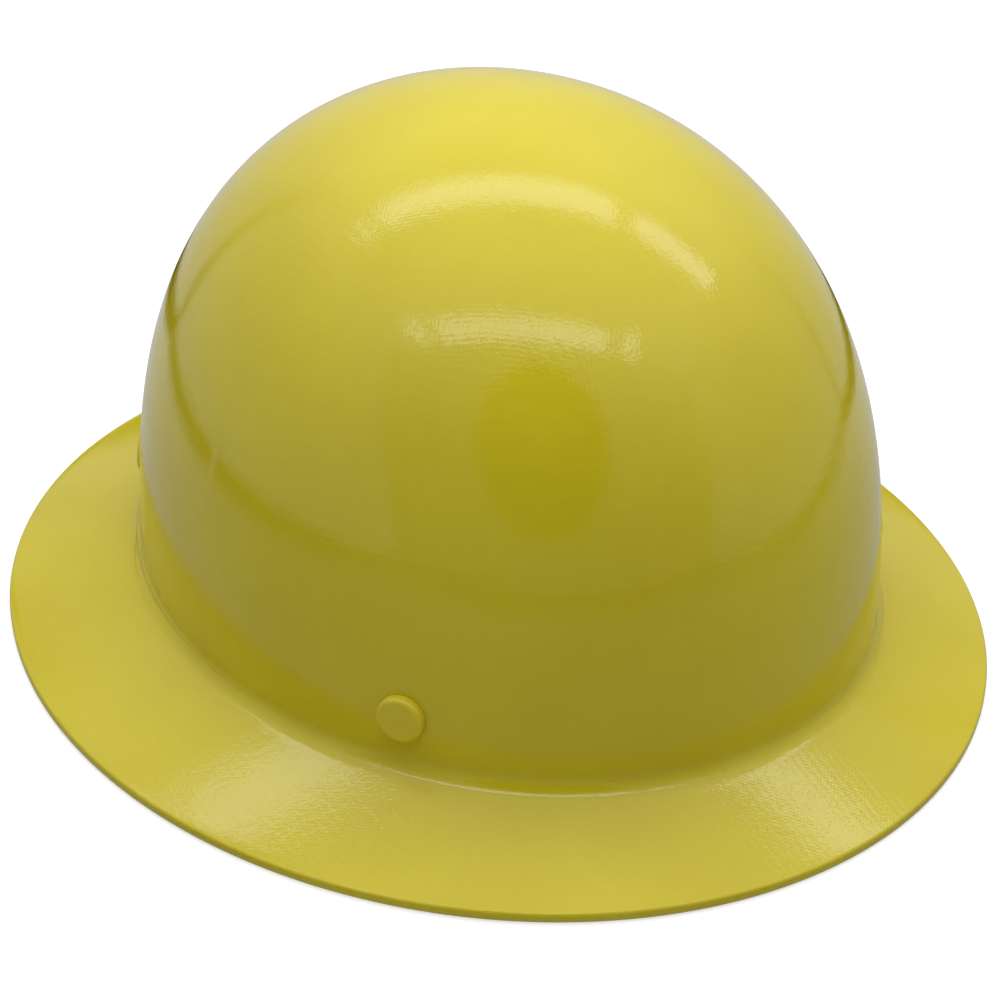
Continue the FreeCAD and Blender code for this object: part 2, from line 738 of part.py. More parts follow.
def pinion_outline():
    """Corners of the pinion's teeth about the knob's axis."""
    lean = math.tan(math.radians(flank_angle))
    thickness = tooth_pitch / 2 - gear_play
    root_radius = pinion_radius - tooth_root
    tip_radius = pinion_radius + tooth_top
    root_half = (thickness / 2 + tooth_root * lean * root_width) / root_radius
    tip_half = (thickness / 2 - tooth_top * lean) / tip_radius
    corners = []
    for tooth in range(pinion_teeth):
        turn = 2 * math.pi * tooth / pinion_teeth
        for radius, half in ((root_radius, -root_half), (tip_radius, -tip_half),
                             (tip_radius, tip_half), (root_radius, root_half)):
            angle = turn + half
            corners.append(Vector(radius * math.sin(angle), 0, axis_height + radius * math.cos(angle)))
    return corners


def at_depth(depth):
    """Point on the knob's axis, by its distance from the rear arc's middle."""
    return Vector(0, rear_y + depth, axis_height)


def square(half, start, end):
    """Square bar along the knob's axis."""
    return box(-half, half, rear_y + start, rear_y + end, axis_height - half, axis_height + half)


def pinion():
    """Pinion between the straps, with a journal in the case and a square that drives the knob."""
    back = Vector(0, 1, 0)
    start = channel_inner + pinion_play
    gear = prism([corner + Vector(0, rear_y + start, 0) for corner in pinion_outline()],
                 back * (channel_outer - pinion_end_play - start))
    journal_start = channel_outer - pinion_end_play - overlap
    journal = disc(at_depth(journal_start), back, case_bore / 2 - shaft_play, pad_face - journal_start)
    pilot_start = channel_inner - cover + pilot_back
    pilot = disc(at_depth(pilot_start), back, cover_hole / 2 - shaft_play, start + overlap - pilot_start)
    drive = square(drive_square / 2, pad_face - overlap, knob_back + drive_depth)
    body = fused([gear, journal, pilot, drive])
    return body.cut(disc(at_depth(0), back, pinion_bore / 2, far)).removeSplitter()


def ratchet_case():
    """Outer half of the ratchet's housing, with a flat pad, a ring of click teeth and a bearing for the shaft."""
    back = Vector(0, 1, 0)
    half = math.degrees(math.asin(case_half_width / case_outer))
    body = ring_sector(channel_inner + cover_gap, case_outer, 90 - half, 90 + half, case_low, case_high)
    upright = [edge for edge in body.Edges
               if edge.BoundBox.ZLength < 0.01 and edge.BoundBox.XLength > case_half_width
               and edge.BoundBox.YMax > rear_y + case_outer - case_wall / 2]
    body = body.makeFillet(case_round, upright)
    channel = ring_sector(channel_inner - cover, channel_outer, 90 - 2 * half, 90 + 2 * half,
                          case_low + case_wall, case_high - case_wall)
    body = body.cut(channel)
    pad = disc(at_depth(channel_outer + overlap), back, case_pad_diameter / 2, pad_face - channel_outer - overlap)
    pad = pad.common(box(-far, far, 0, far, case_low, case_high))
    ring = disc(at_depth(pad_face - overlap), back, click_ring_outer, click_ring_height + overlap)
    ring = ring.cut(disc(at_depth(pad_face), back, click_ring_inner, reach_past))
    ridges = []
    for number in range(click_teeth):
        half_foot = math.pi * click_ring_inner / click_teeth * click_foot
        foot_height = axis_height + click_ring_inner + 3 * overlap
        corners = [Vector(-half_foot, rear_y + pad_face, foot_height),
                   Vector(half_foot, rear_y + pad_face, foot_height),
                   Vector(0, rear_y + pad_face, axis_height + click_ring_inner - click_tooth)]
        ridge = prism(corners, back * click_ring_height)
        ridge.rotate(at_depth(0), back, 360 * number / click_teeth)
        ridges.append(ridge)
    body = fused([body, pad, ring] + ridges)
    return body.cut(disc(at_depth(0), back, case_bore / 2, far)).removeSplitter()


def ratchet_cover():
    """Inner half of the housing, next to the head, with the pilot hole for the pinion."""
    half = math.degrees(math.asin(case_half_width / case_outer))
    body = ring_sector(channel_inner - cover, channel_inner, 90 - half, 90 + half, case_low, case_high)
    rims = [edge for edge in body.Edges
            if edge.BoundBox.ZLength < 0.01 and edge.BoundBox.XLength > case_half_width
            and edge.BoundBox.YMax < rear_y + channel_inner - cover / 2]
    body = body.makeFillet(cover_round, rims)
    return body.cut(disc(at_depth(0), Vector(0, 1, 0), cover_hole / 2, far))


def ratchet_knob():
    """Knob: a scalloped cup over the click ring, with a hub that takes the pinion's square."""
    back = Vector(0, 1, 0)
    radius = knob_diameter / 2
    flank = Vector(radius, 0, knob_depth - knob_face_round)
    bend, face_edge = arc_through(flank, flank - Vector(knob_face_round, 0, 0), 0, math.pi / 2, knob_face_round)
    points = [face_edge, Vector(0, 0, knob_depth), middle, Vector(radius, 0, 0), flank]
    edges = [Part.makeLine(a, b) for a, b in zip(points, points[1:])] + [bend]
    body = turned(edges, at_depth(knob_back), back)
    grips = []
    for number in range(knob_grips):
        turn = 2 * math.pi * (number + 0.5) / knob_grips
        reach = knob_diameter / 2 - knob_grip_depth + knob_grip_radius
        foot = at_depth(knob_back + knob_cup + knob_grip_start) + Vector(math.sin(turn), 0, math.cos(turn)) * reach
        grips.append(disc(foot, back, knob_grip_radius, knob_depth))
    body = body.cut(grips)
    cup = disc(at_depth(knob_back - 1), back, knob_skirt_inner, knob_cup + 1)
    hub = disc(at_depth(knob_back - 1), back, knob_hub / 2, knob_cup + 1)
    body = body.cut(cup.cut(hub))
    body = body.cut(square(drive_square / 2 + drive_play, knob_back - 1, knob_back + drive_depth + drive_end_play))
    return body.cut(disc(at_depth(0), back, screw_shank / 2, knob_face - knob_web)).removeSplitter()


def click_spring():
    """Spring in the knob's cup: a ring pressed on the hub, with two curved arms whose tips ride the click teeth."""
    back = Vector(0, 1, 0)
    start = pad_face + knob_gap + spring_gap
    hub = knob_hub / 2 + spring_press
    bore = disc(at_depth(start - 1), back, hub, reach_past)
    pieces = [disc(at_depth(start), back, hub + spring_collar, spring_height).cut(bore)]
    tip_reach = click_ring_inner - click_tooth - spring_tip_gap
    arm_outer = tip_reach - spring_arm
    arm_inner = arm_outer - spring_arm
    arc = disc(at_depth(start), back, arm_outer, spring_height)
    arc = arc.cut(disc(at_depth(start - 1), back, arm_inner, reach_past))
    arc = arc.common(box(0, far, 0, far, axis_height - spring_root_drop, far))
    tip = disc(at_depth(start) + up * (tip_reach - spring_tip), back, spring_tip, spring_height)
    root_low = axis_height - spring_root_drop
    root = box(hub + spring_collar / 2, (arm_inner + arm_outer) / 2, rear_y + start,
               rear_y + start + spring_height, root_low, root_low + spring_root)
    arm = fused([arc, tip, root])
    for turn in (0, 180):
        copy = arm.copy()
        copy.rotate(at_depth(0), back, turn)
        pieces.append(copy)
    return fused(pieces).removeSplitter()


def knob_screw():
    """Screw from the head's side, through the pinion and into the knob."""
    back = Vector(0, 1, 0)
    head_start = channel_inner - cover + pilot_back - screw_head_height
    screw_length = knob_face - knob_web - screw_tip_gap - head_start
    head = disc(at_depth(head_start), back, screw_head / 2, screw_head_height)
    shank = disc(at_depth(head_start), back, screw_shank / 2 - screw_fit, screw_length)
    body = head.fuse(shank)
    for turn in (0, 90):
        recess = box(-screw_drive / 2, screw_drive / 2, rear_y + head_start - 1,
                     rear_y + head_start + screw_drive_depth, axis_height - screw_drive_half,
                     axis_height + screw_drive_half)
        recess.rotate(at_depth(0), back, turn)
        body = body.cut(recess)
    return body


def build():
    """Make every piece of the hat and write it."""
    os.makedirs("parts", exist_ok=True)
    corners = {"front_left": front_heading, "rear_left": rear_heading}
    left = {}
    for name, heading in corners.items():
        point, outward, level = wall_place(heading)
        origin = point - level * shell_wall
        origin.z = 0
        left[name] = (point, outward, origin, -level)

    shell = outer_body().cut(inner_body())
    for point, outward, origin, inward in left.values():
        hole = disc(point + outward * shell_wall, -outward, rivet_shank / 2 + rivet_hole_play, 4 * shell_wall)
        shell = shell.cut([hole, mirrored(hole)])
    save("shell", shell)

    trim = cavity(shell_wall + socket_gap)
    washers = []
    keys = {}
    for name, (point, outward, origin, inward) in left.items():
        other = name.replace("left", "right")
        pieces = {"button_rivet": rivet(point, outward), "socket": socket(origin, inward, point, outward, trim),
                  "suspension_key": key(origin, inward)}
        for kind, piece in pieces.items():
            save(kind + "_" + name, piece)
            save(kind + "_" + other, mirrored(piece))
        ring = washer(point, outward)
        washers += [ring, mirrored(ring)]
        keys[name] = (origin, inward)
        keys[other] = (Vector(-origin.x, origin.y, origin.z), Vector(-inward.x, inward.y, 0))
    save("rivet_washers", Part.makeCompound(washers))

    span = (keys["front_left"][0] - keys["rear_right"][0]).Length / 2 - key_plate_back
    bend = span**2 / (strap_crown - key_top)
    lift = webbing + strap_cross_gap + (webbing_width / 2) ** 2 / (2 * bend)
    save("crown_strap_lower", crown_strap(keys["front_left"], keys["rear_right"], strap_crown))
    save("crown_strap_upper", crown_strap(keys["front_right"], keys["rear_left"], strap_crown + lift))

    save("headband", headband(keys))
    save("brow_pad", brow_pad())
    save("nape_eye_left", eye(left_strap_radius))
    save("nape_eye_right", mirrored(eye(right_strap_radius)))
    save("pivot_stud_left", pivot_stud(left_strap_radius))
    save("pivot_stud_right", mirrored(pivot_stud(right_strap_radius)))
    save("nape_strap_left", nape_strap(left_strap_radius, 1))
    save("nape_strap_right", mirrored(nape_strap(right_strap_radius, -1)))
    save("ratchet_case", ratchet_case())
    save("ratchet_cover", ratchet_cover())
    save("pinion", pinion())
    save("ratchet_knob", ratchet_knob())
    save("click_spring", click_spring())
    save("knob_screw", knob_screw())


build()
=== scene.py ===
"""Looks of a full brim hard hat: a painted fibre laminate shell, its button rivets and the suspension inside.

Everything is in metres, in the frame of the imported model: the hat faces -Y and stands on its rim at z = 0.
Sizes below are in millimetres where a name ends in mm or a comment says so, and are turned to metres by MM.
"""

import logging
import math
from dataclasses import dataclass, field
from enum import Enum
from typing import Any, Iterable, Optional, Sequence, Union

import bpy
import numpy as np
from mathutils import Matrix, Vector


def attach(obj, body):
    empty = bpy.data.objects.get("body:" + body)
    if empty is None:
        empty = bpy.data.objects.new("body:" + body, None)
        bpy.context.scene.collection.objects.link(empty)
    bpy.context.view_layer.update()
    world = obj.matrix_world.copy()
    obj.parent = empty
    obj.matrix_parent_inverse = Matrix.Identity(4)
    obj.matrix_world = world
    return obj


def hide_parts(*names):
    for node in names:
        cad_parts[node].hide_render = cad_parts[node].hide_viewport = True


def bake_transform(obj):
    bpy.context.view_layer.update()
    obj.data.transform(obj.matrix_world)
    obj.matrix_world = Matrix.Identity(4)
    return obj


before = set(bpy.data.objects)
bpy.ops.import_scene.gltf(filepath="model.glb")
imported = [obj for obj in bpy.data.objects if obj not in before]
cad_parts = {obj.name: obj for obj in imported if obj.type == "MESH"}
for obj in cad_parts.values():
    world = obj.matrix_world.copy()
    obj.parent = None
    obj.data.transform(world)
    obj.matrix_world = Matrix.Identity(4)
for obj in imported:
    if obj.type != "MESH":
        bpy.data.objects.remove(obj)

LOG = logging.getLogger("hard_hat")
MM = 0.001
Colour = tuple[float, float, float]
Points = np.ndarray


class Wire:
    """A number socket of a shader, on which Python's operators add Math nodes."""

    def __init__(self, graph: "Graph", socket: bpy.types.NodeSocket) -> None:
        """Keep the graph and the socket that the number comes from."""
        self.graph = graph
        self.socket = socket

    def math(self, operation: str, *others: Union["Wire", float]) -> "Wire":
        """Add one Math node.

        Args:
            operation: The Math node's operation.
            others: What follows this value in the node's sockets.

        Returns:
            The node's result.
        """
        values = {index: value for index, value in enumerate((self, *others))}
        return self.graph.number("ShaderNodeMath", {"operation": operation}, values)

    def __add__(self, other: Union["Wire", float]) -> "Wire":
        """Sum."""
        return self.math("ADD", other)

    __radd__ = __add__

    def __sub__(self, other: Union["Wire", float]) -> "Wire":
        """Difference."""
        return self.math("SUBTRACT", other)

    def __rsub__(self, other: float) -> "Wire":
        """Difference from a plain number."""
        return (self * -1.0) + other

    def __mul__(self, other: Union["Wire", float]) -> "Wire":
        """Product."""
        return self.math("MULTIPLY", other)

    __rmul__ = __mul__

    def __truediv__(self, other: Union["Wire", float]) -> "Wire":
        """Quotient."""
        return self.math("DIVIDE", other)

    def __abs__(self) -> "Wire":
        """Size without its sign."""
        return self.math("ABSOLUTE")

    def wave(self, pitch: float) -> "Wire":
        """Sine of this length, with one period in each pitch."""
        return (self * (2 * math.pi / pitch)).math("SINE")

    def between(self, low: float, high: float) -> "Wire":
        """Smooth step: 0 below low, 1 above high."""
        settings = {"interpolation_type": "SMOOTHSTEP"}
        return self.graph.number("ShaderNodeMapRange", settings, {"Value": self, "From Min": low, "From Max": high})


class Graph:
    """The node tree of one material or of the world."""

    def __init__(self, tree: bpy.types.NodeTree) -> None:
        """Empty the tree and keep it."""
        self.tree = tree
        tree.nodes.clear()

    def node(self, kind: str, settings: Optional[dict[str, Any]] = None,
             sockets: Optional[dict[Any, Any]] = None) -> bpy.types.Node:
        """Add a node.

        Args:
            kind: The node's type.
            settings: Its own settings, set before its sockets.
            sockets: Values, wires or sockets for its inputs, by name or number.

        Returns:
            The new node.
        """
        made = self.tree.nodes.new(kind)
        for name, value in (settings or {}).items():
            setattr(made, name, value)
        for name, value in (sockets or {}).items():
            target = made.inputs[name]
            if isinstance(value, Wire):
                self.tree.links.new(value.socket, target)
            elif isinstance(value, bpy.types.NodeSocket):
                self.tree.links.new(value, target)
            else:
                target.default_value = value
        return made

    def number(self, kind: str, settings: dict[str, Any], sockets: dict[Any, Any], output: Any = 0) -> Wire:
        """Add a node and return one of its outputs as a number."""
        return Wire(self, self.node(kind, settings, sockets).outputs[output])

    def place(self) -> bpy.types.NodeSocket:
        """Object coordinates."""
        return self.node("ShaderNodeTexCoord").outputs["Object"]

    def uv(self, name: str) -> bpy.types.NodeSocket:
        """A UV map of the piece."""
        return self.node("ShaderNodeUVMap", {"uv_map": name}).outputs["UV"]

    def attribute(self, name: str) -> Wire:
        """A number that the piece's mesh holds at each point."""
        return Wire(self, self.node("ShaderNodeAttribute", {"attribute_name": name}).outputs["Fac"])

    def split(self, vector: bpy.types.NodeSocket) -> tuple[Wire, Wire, Wire]:
        """The three parts of a vector."""
        made = self.node("ShaderNodeSeparateXYZ", {}, {"Vector": vector})
        return tuple(Wire(self, made.outputs[index]) for index in range(3))

    def noise(self, vector: bpy.types.NodeSocket, size: float, detail: float = 2.0,
              roughness: float = 0.5) -> Wire:
        """Noise whose blobs are about size metres across, from 0 to 1."""
        sockets = {"Vector": vector, "Scale": 1.0 / size, "Detail": detail, "Roughness": roughness}
        return self.number("ShaderNodeTexNoise", {}, sockets, "Fac")

    def cells(self, vector: bpy.types.NodeSocket, size: float) -> Wire:
        """Distance to the nearest of scattered points about size metres apart, in shares of that size."""
        return self.number("ShaderNodeTexVoronoi", {}, {"Vector": vector, "Scale": 1.0 / size}, "Distance")

    def colour_mix(self, share: Wire, first: Colour, second: Colour) -> bpy.types.NodeSocket:
        """Blend of two plain colours."""
        sockets = {0: share, 6: (*first, 1.0), 7: (*second, 1.0)}
        return self.node("ShaderNodeMix", {"data_type": "RGBA"}, sockets).outputs[2]

    def bump(self, height: Wire, depth: float) -> bpy.types.NodeSocket:
        """Normal of a surface raised by height times depth metres."""
        return self.node("ShaderNodeBump", {}, {"Height": height, "Distance": depth}).outputs["Normal"]


def shader_material(name: str, dress) -> bpy.types.Material:
    """Make a material around one Principled BSDF.

    Args:
        name: The material's name.
        dress: Called with the graph, returns the values and links of the Principled node's sockets.

    Returns:
        The material.
    """
    material = bpy.data.materials.new(name)
    material.use_nodes = True
    graph = Graph(material.node_tree)
    surface = graph.node("ShaderNodeBsdfPrincipled", {}, dress(graph))
    graph.node("ShaderNodeOutputMaterial", {}, {"Surface": surface.outputs[0]})
    return material


def shade(colour: Colour, share: float) -> Colour:
    """A colour made lighter or darker by a factor."""
    return tuple(min(1.0, part * share) for part in colour)


class Coating:
    """A finish: its name, and a method dress that gives the sockets of its Principled BSDF."""

    name: str

    def material(self) -> bpy.types.Material:
        """The finished material."""
        return shader_material(self.name, self.dress)


@dataclass(frozen=True)
class PaintedLaminate(Coating):
    """Glossy paint over a fibre laminate whose woven roving prints through.

    A pattern's own name with mm is its pitch or the size of its blobs, and with depth_mm how deep it is.
    """

    name: str = "painted_laminate"
    colour: Colour = (0.725, 0.61, 0.02)
    deep: Colour = (0.66, 0.535, 0.014)
    mottle_mm: float = 55.0
    roughness: float = 0.075
    gloss_mm: float = 18.0
    gloss_play: float = 0.05
    rib_mm: float = 2.4
    rib_depth_mm: float = 0.007
    thread_mm: float = 0.75
    thread_share: float = 0.3
    dot_mm: float = 1.3
    sway_mm: float = 12.0
    sway_reach_mm: float = 1.1
    patch_mm: float = 38.0
    patch_least: float = 0.4
    peel_mm: float = 3.2
    peel_depth_mm: float = 0.042
    swell_mm: float = 30.0
    swell_depth_mm: float = 0.12
    grain_mm: float = 0.7
    grain_depth_mm: float = 0.03
    pit_gap_mm: float = 9.0
    pit_patch_mm: float = 21.0
    pit_depth_mm: float = 0.05
    bare: Colour = (0.52, 0.43, 0.05)
    bare_roughness: float = 0.38
    bare_depth_mm: float = 0.03

    def ribs(self, across: Wire, along: Wire) -> Wire:
        """Ribs across one way, with fine threads along the other."""
        threads = (1.0 - self.thread_share) + self.thread_share * along.wave(self.thread_mm * MM)
        return across.wave(self.rib_mm * MM) * threads

    def dots(self, first: Wire, second: Wire) -> Wire:
        """Raised dots where the threads of two ways cross."""
        return first.wave(self.dot_mm * MM) * second.wave(self.dot_mm * MM)

    def glaze(self, graph: Graph, place: bpy.types.NodeSocket, cloth: Wire) -> Wire:
        """Height of the paint in millimetres: print-through in patches, orange peel, grain and pits."""
        patches = graph.noise(place, self.patch_mm * MM, 3.0).between(0.42, 0.64)
        shown = patches * (1.0 - self.patch_least) + self.patch_least
        peel = graph.noise(place, self.peel_mm * MM, 2.0)
        swell = graph.noise(place, self.swell_mm * MM, 1.0)
        grain = graph.noise(place, self.grain_mm * MM, 1.0)
        fleck = graph.cells(place, self.pit_gap_mm * MM)
        pits = (1.0 - fleck.between(0.02, 0.055)) * graph.noise(place, self.pit_patch_mm * MM).between(0.5, 0.6)
        return (cloth * shown * self.rib_depth_mm + peel * self.peel_depth_mm + swell * self.swell_depth_mm
                + grain * self.grain_depth_mm - pits * self.pit_depth_mm)

    def dress(self, graph: Graph) -> dict[str, Any]:
        """Sockets of the paint outside and of the bare laminate inside, which the attribute "inside" tells apart."""
        place = graph.place()
        across, along, _ = graph.split(place)
        around, climb, _ = graph.split(graph.uv("wall"))
        level = graph.attribute("level").between(0.35, 0.75)
        sway = graph.noise(place, self.sway_mm * MM) * (self.sway_reach_mm * MM)
        top = self.ribs(across + sway, along) + self.dots(across + sway, along)
        side = self.ribs(climb + sway, around) + self.dots(around + sway, climb)
        cloth = top * level + side * (1.0 - level)
        inside = graph.attribute("inside")
        strands = cloth * self.bare_depth_mm
        relief = self.glaze(graph, place, cloth) * (1.0 - inside) + strands * inside
        mottle = graph.noise(place, self.mottle_mm * MM, 4.0).between(0.3, 0.7)
        paint = graph.colour_mix(mottle * 0.55 + 0.45, self.deep, self.colour)
        resin = graph.colour_mix(strands * 8.0 + mottle * 0.6, shade(self.bare, 0.8), self.bare)
        both = graph.node("ShaderNodeMix", {"data_type": "RGBA"}, {0: inside, 6: paint, 7: resin})
        gloss = graph.noise(place, self.gloss_mm * MM, 3.0) * self.gloss_play + (self.roughness - self.gloss_play / 2)
        return {
            "Base Color": both.outputs[2],
            "Roughness": gloss + inside * (self.bare_roughness - self.roughness),
            "IOR": 1.5,
            "Normal": graph.bump(relief, MM),
        }


@dataclass(frozen=True)
class GlossyButton(Coating):
    """Paint of the rivets: as the shell's, without the weave."""

    name: str = "glossy_button"
    colour: Colour = (0.80, 0.66, 0.028)
    roughness: float = 0.2

    def dress(self, graph: Graph) -> dict[str, Any]:
        """Sockets of the moulded, tinted plastic."""
        place = graph.place()
        mottle = graph.noise(place, 6 * MM, 3.0)
        return {
            "Base Color": graph.colour_mix(mottle, shade(self.colour, 0.92), self.colour),
            "Roughness": graph.noise(place, 3 * MM) * 0.08 + (self.roughness - 0.04),
            "IOR": 1.47,
            "Normal": graph.bump(graph.noise(place, 1.6 * MM), 0.02 * MM),
        }


@dataclass(frozen=True)
class MouldedPlastic(Coating):
    """Moulded plastic with a fine spark-eroded grain and rubbed high spots."""

    name: str
    colour: Colour
    roughness: float = 0.48
    grain_mm: float = 0.45
    grain_depth_mm: float = 0.03

    def dress(self, graph: Graph) -> dict[str, Any]:
        """Sockets of the grained plastic."""
        place = graph.place()
        grain = graph.noise(place, self.grain_mm * MM, 3.0, 0.65)
        haze = graph.noise(place, 14 * MM, 4.0)
        return {
            "Base Color": graph.colour_mix(haze, shade(self.colour, 0.85), shade(self.colour, 1.2)),
            "Roughness": haze * 0.14 + grain * 0.1 + (self.roughness - 0.12),
            "IOR": 1.46,
            "Normal": graph.bump(grain, self.grain_depth_mm * MM),
        }


@dataclass(frozen=True)
class PlatedSteel(Coating):
    """Zinc plated steel with turned rings and a faint stain."""

    name: str = "plated_steel"
    colour: Colour = (0.58, 0.58, 0.56)

    def dress(self, graph: Graph) -> dict[str, Any]:
        """Sockets of the plated steel."""
        place = graph.place()
        stain = graph.noise(place, 4 * MM, 4.0)
        return {
            "Base Color": graph.colour_mix(stain, shade(self.colour, 0.8), self.colour),
            "Metallic": 1.0,
            "Roughness": stain * 0.2 + 0.25,
            "Normal": graph.bump(graph.noise(place, 0.4 * MM, 3.0), 0.01 * MM),
        }


@dataclass(frozen=True)
class WovenTape(Coating):
    """Polyester tape: herringbone of fine yarns, worked out on the tape's own map, with tacked ends."""

    name: str = "woven_tape"
    colour: Colour = (0.24, 0.25, 0.245)
    thread: Colour = (0.55, 0.55, 0.53)
    yarn_mm: float = 0.8
    chevron_mm: float = 4.75
    depth_mm: float = 0.12
    tack_half_mm: float = 7.5
    tacks_mm: tuple[float, float] = (9.0, 21.0)

    def dress(self, graph: Graph) -> dict[str, Any]:
        """Sockets of the tape. The map's U runs across it and V along it, in metres.

        Zigzag threads lie in two bars across each end, at their distances from it.
        """
        across, along, _ = graph.split(graph.uv("tape"))
        fold = (across / (self.chevron_mm * MM)).math("PINGPONG", 1.0) * (self.chevron_mm * MM)
        rib = (along + fold).wave(self.yarn_mm * MM)
        cord = across.wave(self.yarn_mm * MM)
        yarn = rib * 0.6 + cord * 0.4
        fuzz = graph.noise(graph.place(), 0.35 * MM, 3.0)
        end = graph.attribute("end")
        width = 1.0 - abs(across).between(self.tack_half_mm * MM, (self.tack_half_mm + 0.4) * MM)
        near, far = (1.0 - abs(end - middle * MM).between(1.0 * MM, 1.3 * MM) for middle in self.tacks_mm)
        stitch = (across + end * 0.25).wave(0.9 * MM).between(-0.4, 0.3) * (near + far) * width
        tint = yarn * 0.3 + fuzz * 0.5 + 0.1
        cloth = graph.colour_mix(tint, shade(self.colour, 0.6), shade(self.colour, 1.35))
        sockets = {0: stitch, 6: cloth, 7: (*self.thread, 1.0)}
        colour = graph.node("ShaderNodeMix", {"data_type": "RGBA"}, sockets).outputs[2]
        return {
            "Base Color": colour,
            "Roughness": fuzz * 0.15 + 0.75,
            "Sheen Weight": 0.3,
            "Normal": graph.bump(yarn * 0.5 + stitch * 0.8 + fuzz * 0.3, self.depth_mm * MM),
        }


@dataclass(frozen=True)
class BrushedKnit(Coating):
    """Brushed knit over foam, with wales along the pad and a sewn border."""

    name: str = "brushed_knit"
    colour: Colour = (0.055, 0.057, 0.062)
    wale_mm: float = 1.1
    course_mm: float = 0.8
    depth_mm: float = 0.16
    seam_mm: float = 2.6

    def dress(self, graph: Graph) -> dict[str, Any]:
        """Sockets of the knit. The map's U runs along the pad and V up it, in metres."""
        along, climb, _ = graph.split(graph.uv("tape"))
        lean = abs(along.wave(2 * self.wale_mm * MM)) * (0.35 * self.course_mm * MM)
        loops = along.wave(self.wale_mm * MM) * 0.5 + (climb + lean).wave(self.course_mm * MM) * 0.5
        fuzz = graph.noise(graph.place(), 0.5 * MM, 4.0, 0.7)
        border = 1.0 - abs(graph.attribute("end") - self.seam_mm * MM).between(0.3 * MM, 0.55 * MM)
        stitch = along.wave(3.0 * MM).between(-0.5, 0.0) * border
        tint = loops * 0.25 + fuzz * 0.7 + stitch * 0.6
        return {
            "Base Color": graph.colour_mix(tint, shade(self.colour, 0.6), shade(self.colour, 2.2)),
            "Roughness": fuzz * 0.1 + 0.85,
            "Sheen Weight": 0.5,
            "Normal": graph.bump(loops * 0.5 + fuzz * 0.6 + stitch * 0.9, self.depth_mm * MM),
        }


def grid_faces(rows: int, columns: int, loop_rows: bool, loop_columns: bool) -> np.ndarray:
    """Quads of a grid of points numbered row by row.

    Args:
        rows: Number of rows.
        columns: Points in a row.
        loop_rows: Whether the last row joins the first.
        loop_columns: Whether a row's last point joins its first.

    Returns:
        An array of four point numbers for each quad.
    """
    first = np.arange(rows if loop_rows else rows - 1)
    second = np.arange(columns if loop_columns else columns - 1)
    row, column = np.meshgrid(first, second, indexing="ij")
    next_row = (row + 1) % rows
    next_column = (column + 1) % columns
    quads = np.stack([row * columns + column, row * columns + next_column,
                      next_row * columns + next_column, next_row * columns + column], axis=-1)
    return quads.reshape(-1, 4)


def make_piece(name: str, points: Points, faces: Iterable[Sequence[int]]) -> bpy.types.Object:
    """Make a smooth-shaded mesh object at the origin.

    Args:
        name: Name of the object.
        points: Its points in metres.
        faces: Point numbers of each face, seen anticlockwise from outside.

    Returns:
        The new object, linked to the scene.
    """
    mesh = bpy.data.meshes.new(name)
    mesh.from_pydata(np.asarray(points, float).reshape(-1, 3).tolist(), [], [list(map(int, f)) for f in faces])
    mesh.validate()
    mesh.shade_smooth()
    piece = bpy.data.objects.new(name, mesh)
    bpy.context.scene.collection.objects.link(piece)
    return piece


def set_map(piece: bpy.types.Object, name: str, values: Points) -> None:
    """Give a mesh a UV map with one value for each point."""
    mesh = piece.data
    corners = np.zeros(len(mesh.loops), np.int32)
    mesh.loops.foreach_get("vertex_index", corners)
    layer = mesh.uv_layers.new(name=name)
    layer.data.foreach_set("uv", np.asarray(values, np.float32)[corners].ravel())


def set_attribute(piece: bpy.types.Object, name: str, values: Points) -> None:
    """Give a mesh one number for each point."""
    layer = piece.data.attributes.new(name, "FLOAT", "POINT")
    layer.data.foreach_set("value", np.asarray(values, np.float32).ravel())


def dress(piece: bpy.types.Object, material: bpy.types.Material) -> None:
    """Put one material on a whole piece."""
    piece.data.materials.clear()
    piece.data.materials.append(material)


def dress_node(name: str, material: bpy.types.Material) -> None:
    """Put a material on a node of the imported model, whose mesh stays as it is."""
    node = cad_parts[name]
    if not node.material_slots:
        node.data.materials.append(material)
    for slot in node.material_slots:
        slot.material = material


